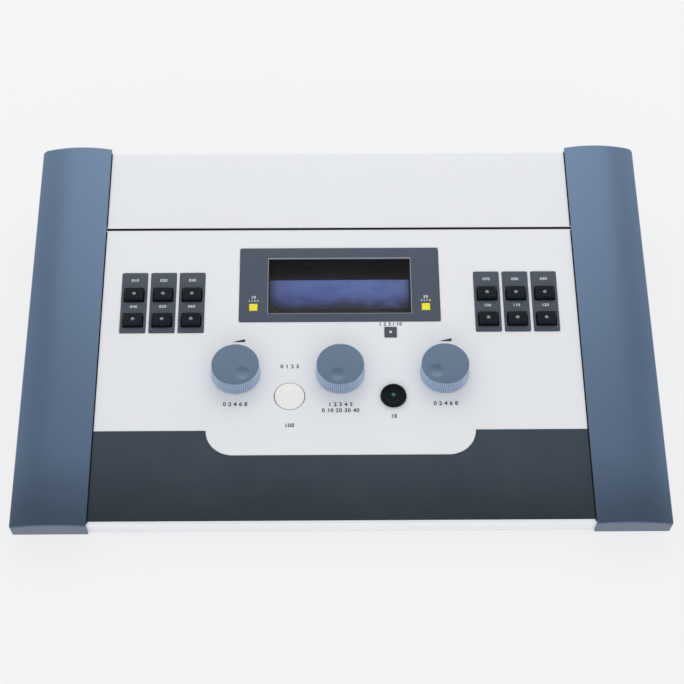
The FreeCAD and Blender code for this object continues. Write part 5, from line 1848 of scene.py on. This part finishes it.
@dataclass
class CaseScrews:
    """The case screws, with a cross recess in each head under the base."""

    blade: float = 0.8 * MM
    span: float = 3.4 * MM
    depth: float = 1.0 * MM
    head_reach: float = 8 * MM

    def build(self, finishes: Finishes) -> bpy.types.Object:
        """Cut the recesses into a copy of the screws.

        Args:
            finishes: The materials.

        Returns:
            The screws.
        """
        piece = bpy.data.objects.new("case_screw_set", frame["nodes"]["case_screws"].data.copy())
        bpy.context.scene.collection.objects.link(piece)
        with Bench.editing(piece, "VERT"):
            bpy.ops.mesh.select_all(action="SELECT")
            bpy.ops.mesh.remove_doubles(threshold=HAIR / 10)
        blades = []
        for centre in self.heads(piece, self.head_reach):
            for length, width in ((self.span, self.blade), (self.blade, self.span)):
                half = Vector((length / 2, width / 2, self.depth))
                blades.append(Bench.block("blade", centre - half, centre + half))
        Bench.carve(piece, *blades)
        return Bench.settle(
            piece, finishes["zinc_screw"], CONSOLE, "screw_steel", ["case_screws"], smooth=30,
        )

    @staticmethod
    def heads(piece: bpy.types.Object, reach: float) -> list[Vector]:
        """Find the middles of the heads that lie under the base.

        Args:
            piece: The screws.
            reach: A length that is wider than a head and less than the way to the next.

        Returns:
            A middle for each head.
        """
        foot = min(vertex.co.z for vertex in piece.data.vertices)
        rims: list[list[Vector]] = []
        for vertex in piece.data.vertices:
            if vertex.co.z > foot + 5 * HAIR:
                continue
            near = (rim for rim in rims if (rim[0] - vertex.co).length < reach)
            rim = next(near, None)
            if rim is None:
                rims.append([vertex.co.copy()])
            else:
                rim.append(vertex.co.copy())
        return [sum(rim, Vector()) / len(rim) for rim in rims]


@dataclass
class RearPrint:
    """Plain numbers over the sockets, and the two states of the power switch, on the rear panel."""

    thick: float = 0.06 * MM
    bold: float = 0.02
    type_size: float = 4.6 * MM
    lift: float = 11.5 * MM
    switch_lift: float = 14.6 * MM

    def build(self, finishes: Finishes) -> bpy.types.Object:
        """Print the rear panel.

        Args:
            finishes: The materials.

        Returns:
            The print.
        """
        jacks = REAR.jacks()
        spots = [self.middle("data_port"), *jacks, self.middle("supply_inlet")]
        spots = [Vector((spot.x, jacks[0].y + self.lift, 0)) for spot in spots]
        marks = [self.mark(str(number), spot) for number, spot in enumerate(spots, 1)]
        switch = self.middle("power_switch_housing")
        for state, side in (("1", 1), ("0", -1)):
            marks.append(self.mark(state, switch + Vector((0, side * self.switch_lift, 0))))
        return Bench.settle(
            Bench.join("rear_print", marks), finishes["light_ink"], CONSOLE, "button_white", (), REAR.matrix,
        )

    @staticmethod
    def middle(node: str) -> Vector:
        """Give the middle of a node on the rear panel."""
        low, high = REAR.box(node)
        return Vector(((low.x + high.x) / 2, (low.y + high.y) / 2, 0))

    def mark(self, words: str, centre: Vector) -> bpy.types.Object:
        """Print one figure."""
        return Bench.written("figure", words, self.type_size, centre, self.thick, self.bold * self.type_size)


@dataclass
class Microphone:
    """A small pale dome that fills the microphone's hole."""

    radius: float = 0.85 * MM
    proud: float = 0.35 * MM
    ring: float = 0.25 * MM

    def build(self, finishes: Finishes) -> bpy.types.Object:
        """Model the dome in the trim's hole.

        Args:
            finishes: The materials.

        Returns:
            The dome.
        """
        low, high = PANEL.box("mic_trim")
        middle = (low + high) / 2
        dome = Bench.disc("mic_cloth", middle, self.radius, low.z, high.z, sides=32)
        Bench.crown(dome, high.z, self.ring / 4, self.ring, self.proud, rings=3)
        return Bench.settle(
            dome, finishes["light_ink"], CONSOLE, "button_white", (), PANEL.matrix, smooth=60,
        )


@dataclass
class Seals:
    """Thin dark strips along the cheeks, a painted shadow of the gap between cheek and white shells, and the
    dark rubber bead in the seam.
    """

    width: float = 0.7 * MM
    depth: float = 1.6 * MM
    lift: float = 0.35 * MM
    seam_width: float = 1.5 * MM
    seam_lift: float = 0.25 * MM

    def build(self, finishes: Finishes) -> list[bpy.types.Object]:
        """Lay a dark strip, a painted shadow of the gap, along each cheek, over the panel and over the rear
        cover.

        Args:
            finishes: The materials.

        Returns:
            The strips and the bead.
        """
        strips_and_bead = []
        front = PANEL.box("front_panel")
        cover = PANEL.box("rear_cover")
        for side in Side:
            low, high = PANEL.box(side.name.lower() + "_cheek")
            edge = min(abs(low.x), abs(high.x))
            strips = []
            for number, (start, end) in enumerate(((front[0].y, front[1].y), (cover[0].y, cover[1].y))):
                # each strip is a painted shadow of the gap between the cheek and the shell
                near = Vector((side.value * (edge - self.width), start + MM, -self.depth))
                far = Vector((side.value * (edge + self.width), end - MM, self.lift))
                corners = [Vector([pick(near[axis], far[axis]) for axis in range(3)]) for pick in (min, max)]
                strip = Bench.block(f"strip_{number}", *corners)
                Bench.soften(strip, self.lift / 2)
                strips.append(strip)
            strips_and_bead.append(Bench.settle(
                Bench.join(side.name.lower() + "_cheek_seal", strips), finishes["seal_rubber"], CONSOLE,
                "gasket_rubber", (), PANEL.matrix,
            ))
        return strips_and_bead + [self.seam(finishes)]

    def seam(self, finishes: Finishes) -> bpy.types.Object:
        """Lay the bead across the console, between the panel and the rear cover.

        Args:
            finishes: The materials.

        Returns:
            The bead.
        """
        seam = (PANEL.box("front_panel")[1].y + PANEL.box("rear_cover")[0].y) / 2
        low, high = PANEL.box("seam_gasket")
        middle = Vector((0, seam, 0))
        near = middle + Vector((low.x, -self.seam_width / 2, -self.depth))
        far = middle + Vector((high.x, self.seam_width / 2, self.seam_lift))
        bead = Bench.block("seam_bead", near, far)
        Bench.soften(bead, self.seam_lift / 2)
        return Bench.settle(bead, finishes["seal_rubber"], CONSOLE, "gasket_rubber", (), PANEL.matrix)


@dataclass(frozen=True)
class Softbox:
    """A rectangular lamp that faces the console."""

    name: str
    spot: tuple[float, float, float]
    size: tuple[float, float]
    power: float

    def hang(self) -> None:
        """Add the lamp to the scene and turn it to the console."""
        data = bpy.data.lights.new(self.name, "AREA")
        data.shape = "RECTANGLE"
        data.size, data.size_y = self.size
        data.energy = self.power
        lamp = bpy.data.objects.new(self.name, data)
        lamp.location = self.spot
        lamp.rotation_euler = (-Vector(self.spot)).to_track_quat("-Z", "Y").to_euler()
        bpy.context.scene.collection.objects.link(lamp)


@dataclass
class Studio:
    """A pale floor, soft light and the camera over the console."""

    focal_length: float = 99.42
    elevation: float = 58.088
    turn: float = 0.875
    roll: float = 0.469
    distance: float = 1.1138
    aim: tuple[float, float] = (1.19 * MM, -40.69 * MM)
    backdrop: tuple[float, float, float, float] = tint(246, 246, 246)
    flag_tone: tuple[float, float, float, float] = tint(50, 52, 58)
    floor_glow: float = 0.85
    sky_light: float = 0.84
    lamps: tuple[Softbox, ...] = (
        Softbox("front_softbox", (0.0, -1.6, 0.55), (2.2, 0.6), 7.2),
        Softbox("rear_softbox", (0.0, 0.72, 1.06), (1.1, 0.55), 2.5),
        Softbox("rear_strip", (0.0, 0.62, 0.42), (1.2, 0.3), 1.1),
    )

    def build(self) -> None:
        """Set up the floor, the lights, the world and the camera."""
        bpy.context.scene.view_settings.view_transform = "Standard"
        self.floor()
        for lamp in self.lamps:
            lamp.hang()
        self.world()
        self.camera()

    def camera(self) -> None:
        """Aim the camera at the panel."""
        lift, turn = math.radians(self.elevation), math.radians(self.turn)
        look = Vector((math.sin(turn) * math.cos(lift), math.cos(turn) * math.cos(lift), -math.sin(lift)))
        right = look.cross(Vector((0, 0, 1))).normalized()
        up = right.cross(look)
        roll = math.radians(self.roll)
        across = math.cos(roll) * right + math.sin(roll) * up
        upward = math.cos(roll) * up - math.sin(roll) * right
        spot = Vector((*self.aim, 0)) - look * self.distance
        turned = Matrix((across, upward, -look)).transposed().to_4x4()
        data = bpy.data.cameras.new("camera")
        data.lens = self.focal_length
        data.sensor_width = 36
        camera = bpy.data.objects.new("camera", data)
        camera.matrix_world = PANEL.matrix @ Matrix.Translation(spot) @ turned
        bpy.context.scene.collection.objects.link(camera)
        bpy.context.scene.camera = camera

    def floor(self) -> None:
        """Lay the floor: plain to the camera, with a soft shadow."""
        Bench.clear()
        bpy.ops.mesh.primitive_plane_add(size=12)
        floor = Bench.named("floor")
        material, graph, shader = empty_material("floor_paper")
        shader.inputs["Base Color"].default_value = self.backdrop
        shader.inputs["Roughness"].default_value = 0.9
        shader.inputs["Specular IOR Level"].default_value = 0.1
        glow = graph.add("Emission", Color=self.backdrop, Strength=1.0)
        mix = graph.add("MixShader")
        graph.feed(mix.inputs[0], graph.sum("MULTIPLY", self.seen(graph), self.floor_glow))
        graph.feed(mix.inputs[1], shader.outputs[0])
        graph.feed(mix.inputs[2], glow.outputs[0])
        output = graph.tree.nodes["Material Output"]
        graph.feed(output.inputs["Surface"], mix.outputs[0])
        floor.data.materials.append(material)

    def world(self) -> None:
        """Wrap the scene in an even sky with a dark flag overhead, wider for what reflections see."""
        world = bpy.data.worlds.new("studio")
        world.use_nodes = True
        bpy.context.scene.world = world
        graph = Graph(world.node_tree)
        background = world.node_tree.nodes["Background"]
        height = graph.add("SeparateXYZ", Vector=graph.add("TexCoord").outputs["Generated"]).outputs["Z"]
        mirrored = graph.add("LightPath").outputs["Is Glossy Ray"]
        flag = graph.sum("MULTIPLY", graph.span(height, 0.62, 0.8), mirrored)
        flag = graph.sum("MAXIMUM", flag, graph.span(height, 0.88, 0.94))
        graph.feed(background.inputs["Color"], graph.blend(flag, self.backdrop, self.flag_tone))
        strength = graph.sum("MULTIPLY_ADD", self.seen(graph), 1 - self.sky_light, self.sky_light)
        graph.feed(background.inputs["Strength"], strength)

    @staticmethod
    def seen(graph: Graph) -> bpy.types.NodeSocket:
        """Tell the rays that see the backdrop, direct or in a reflection, from those that only light.

        Args:
            graph: The tree's graph.

        Returns:
            1 for rays that see it, and 0 for the rest.
        """
        rays = graph.add("LightPath").outputs
        mirrored = graph.sum("MAXIMUM", rays["Is Glossy Ray"], rays["Is Transmission Ray"])
        return graph.sum("MAXIMUM", rays["Is Camera Ray"], mirrored)


def main() -> None:
    """Dress the frame, build the pieces and set up the studio."""
    logging.basicConfig(level=logging.INFO, format="%(name)s: %(message)s")
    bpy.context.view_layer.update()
    finishes = Finishes()
    dress_nodes(finishes)
    for node, bearing in DIMPLE_BEARINGS.items():
        Knob(node, bearing).build(finishes)
    for side in Side:
        KeyBank(side).build(finishes)
    RoundButtons().build(finishes)
    LightPipes().build(finishes)
    Display().build(finishes)
    Print().build(finishes)
    JackNuts().build(finishes)
    CaseScrews().build(finishes)
    RearPrint().build(finishes)
    Microphone().build(finishes)
    Seals().build(finishes)
    Studio().build()


if __name__ == "__main__":
    main()
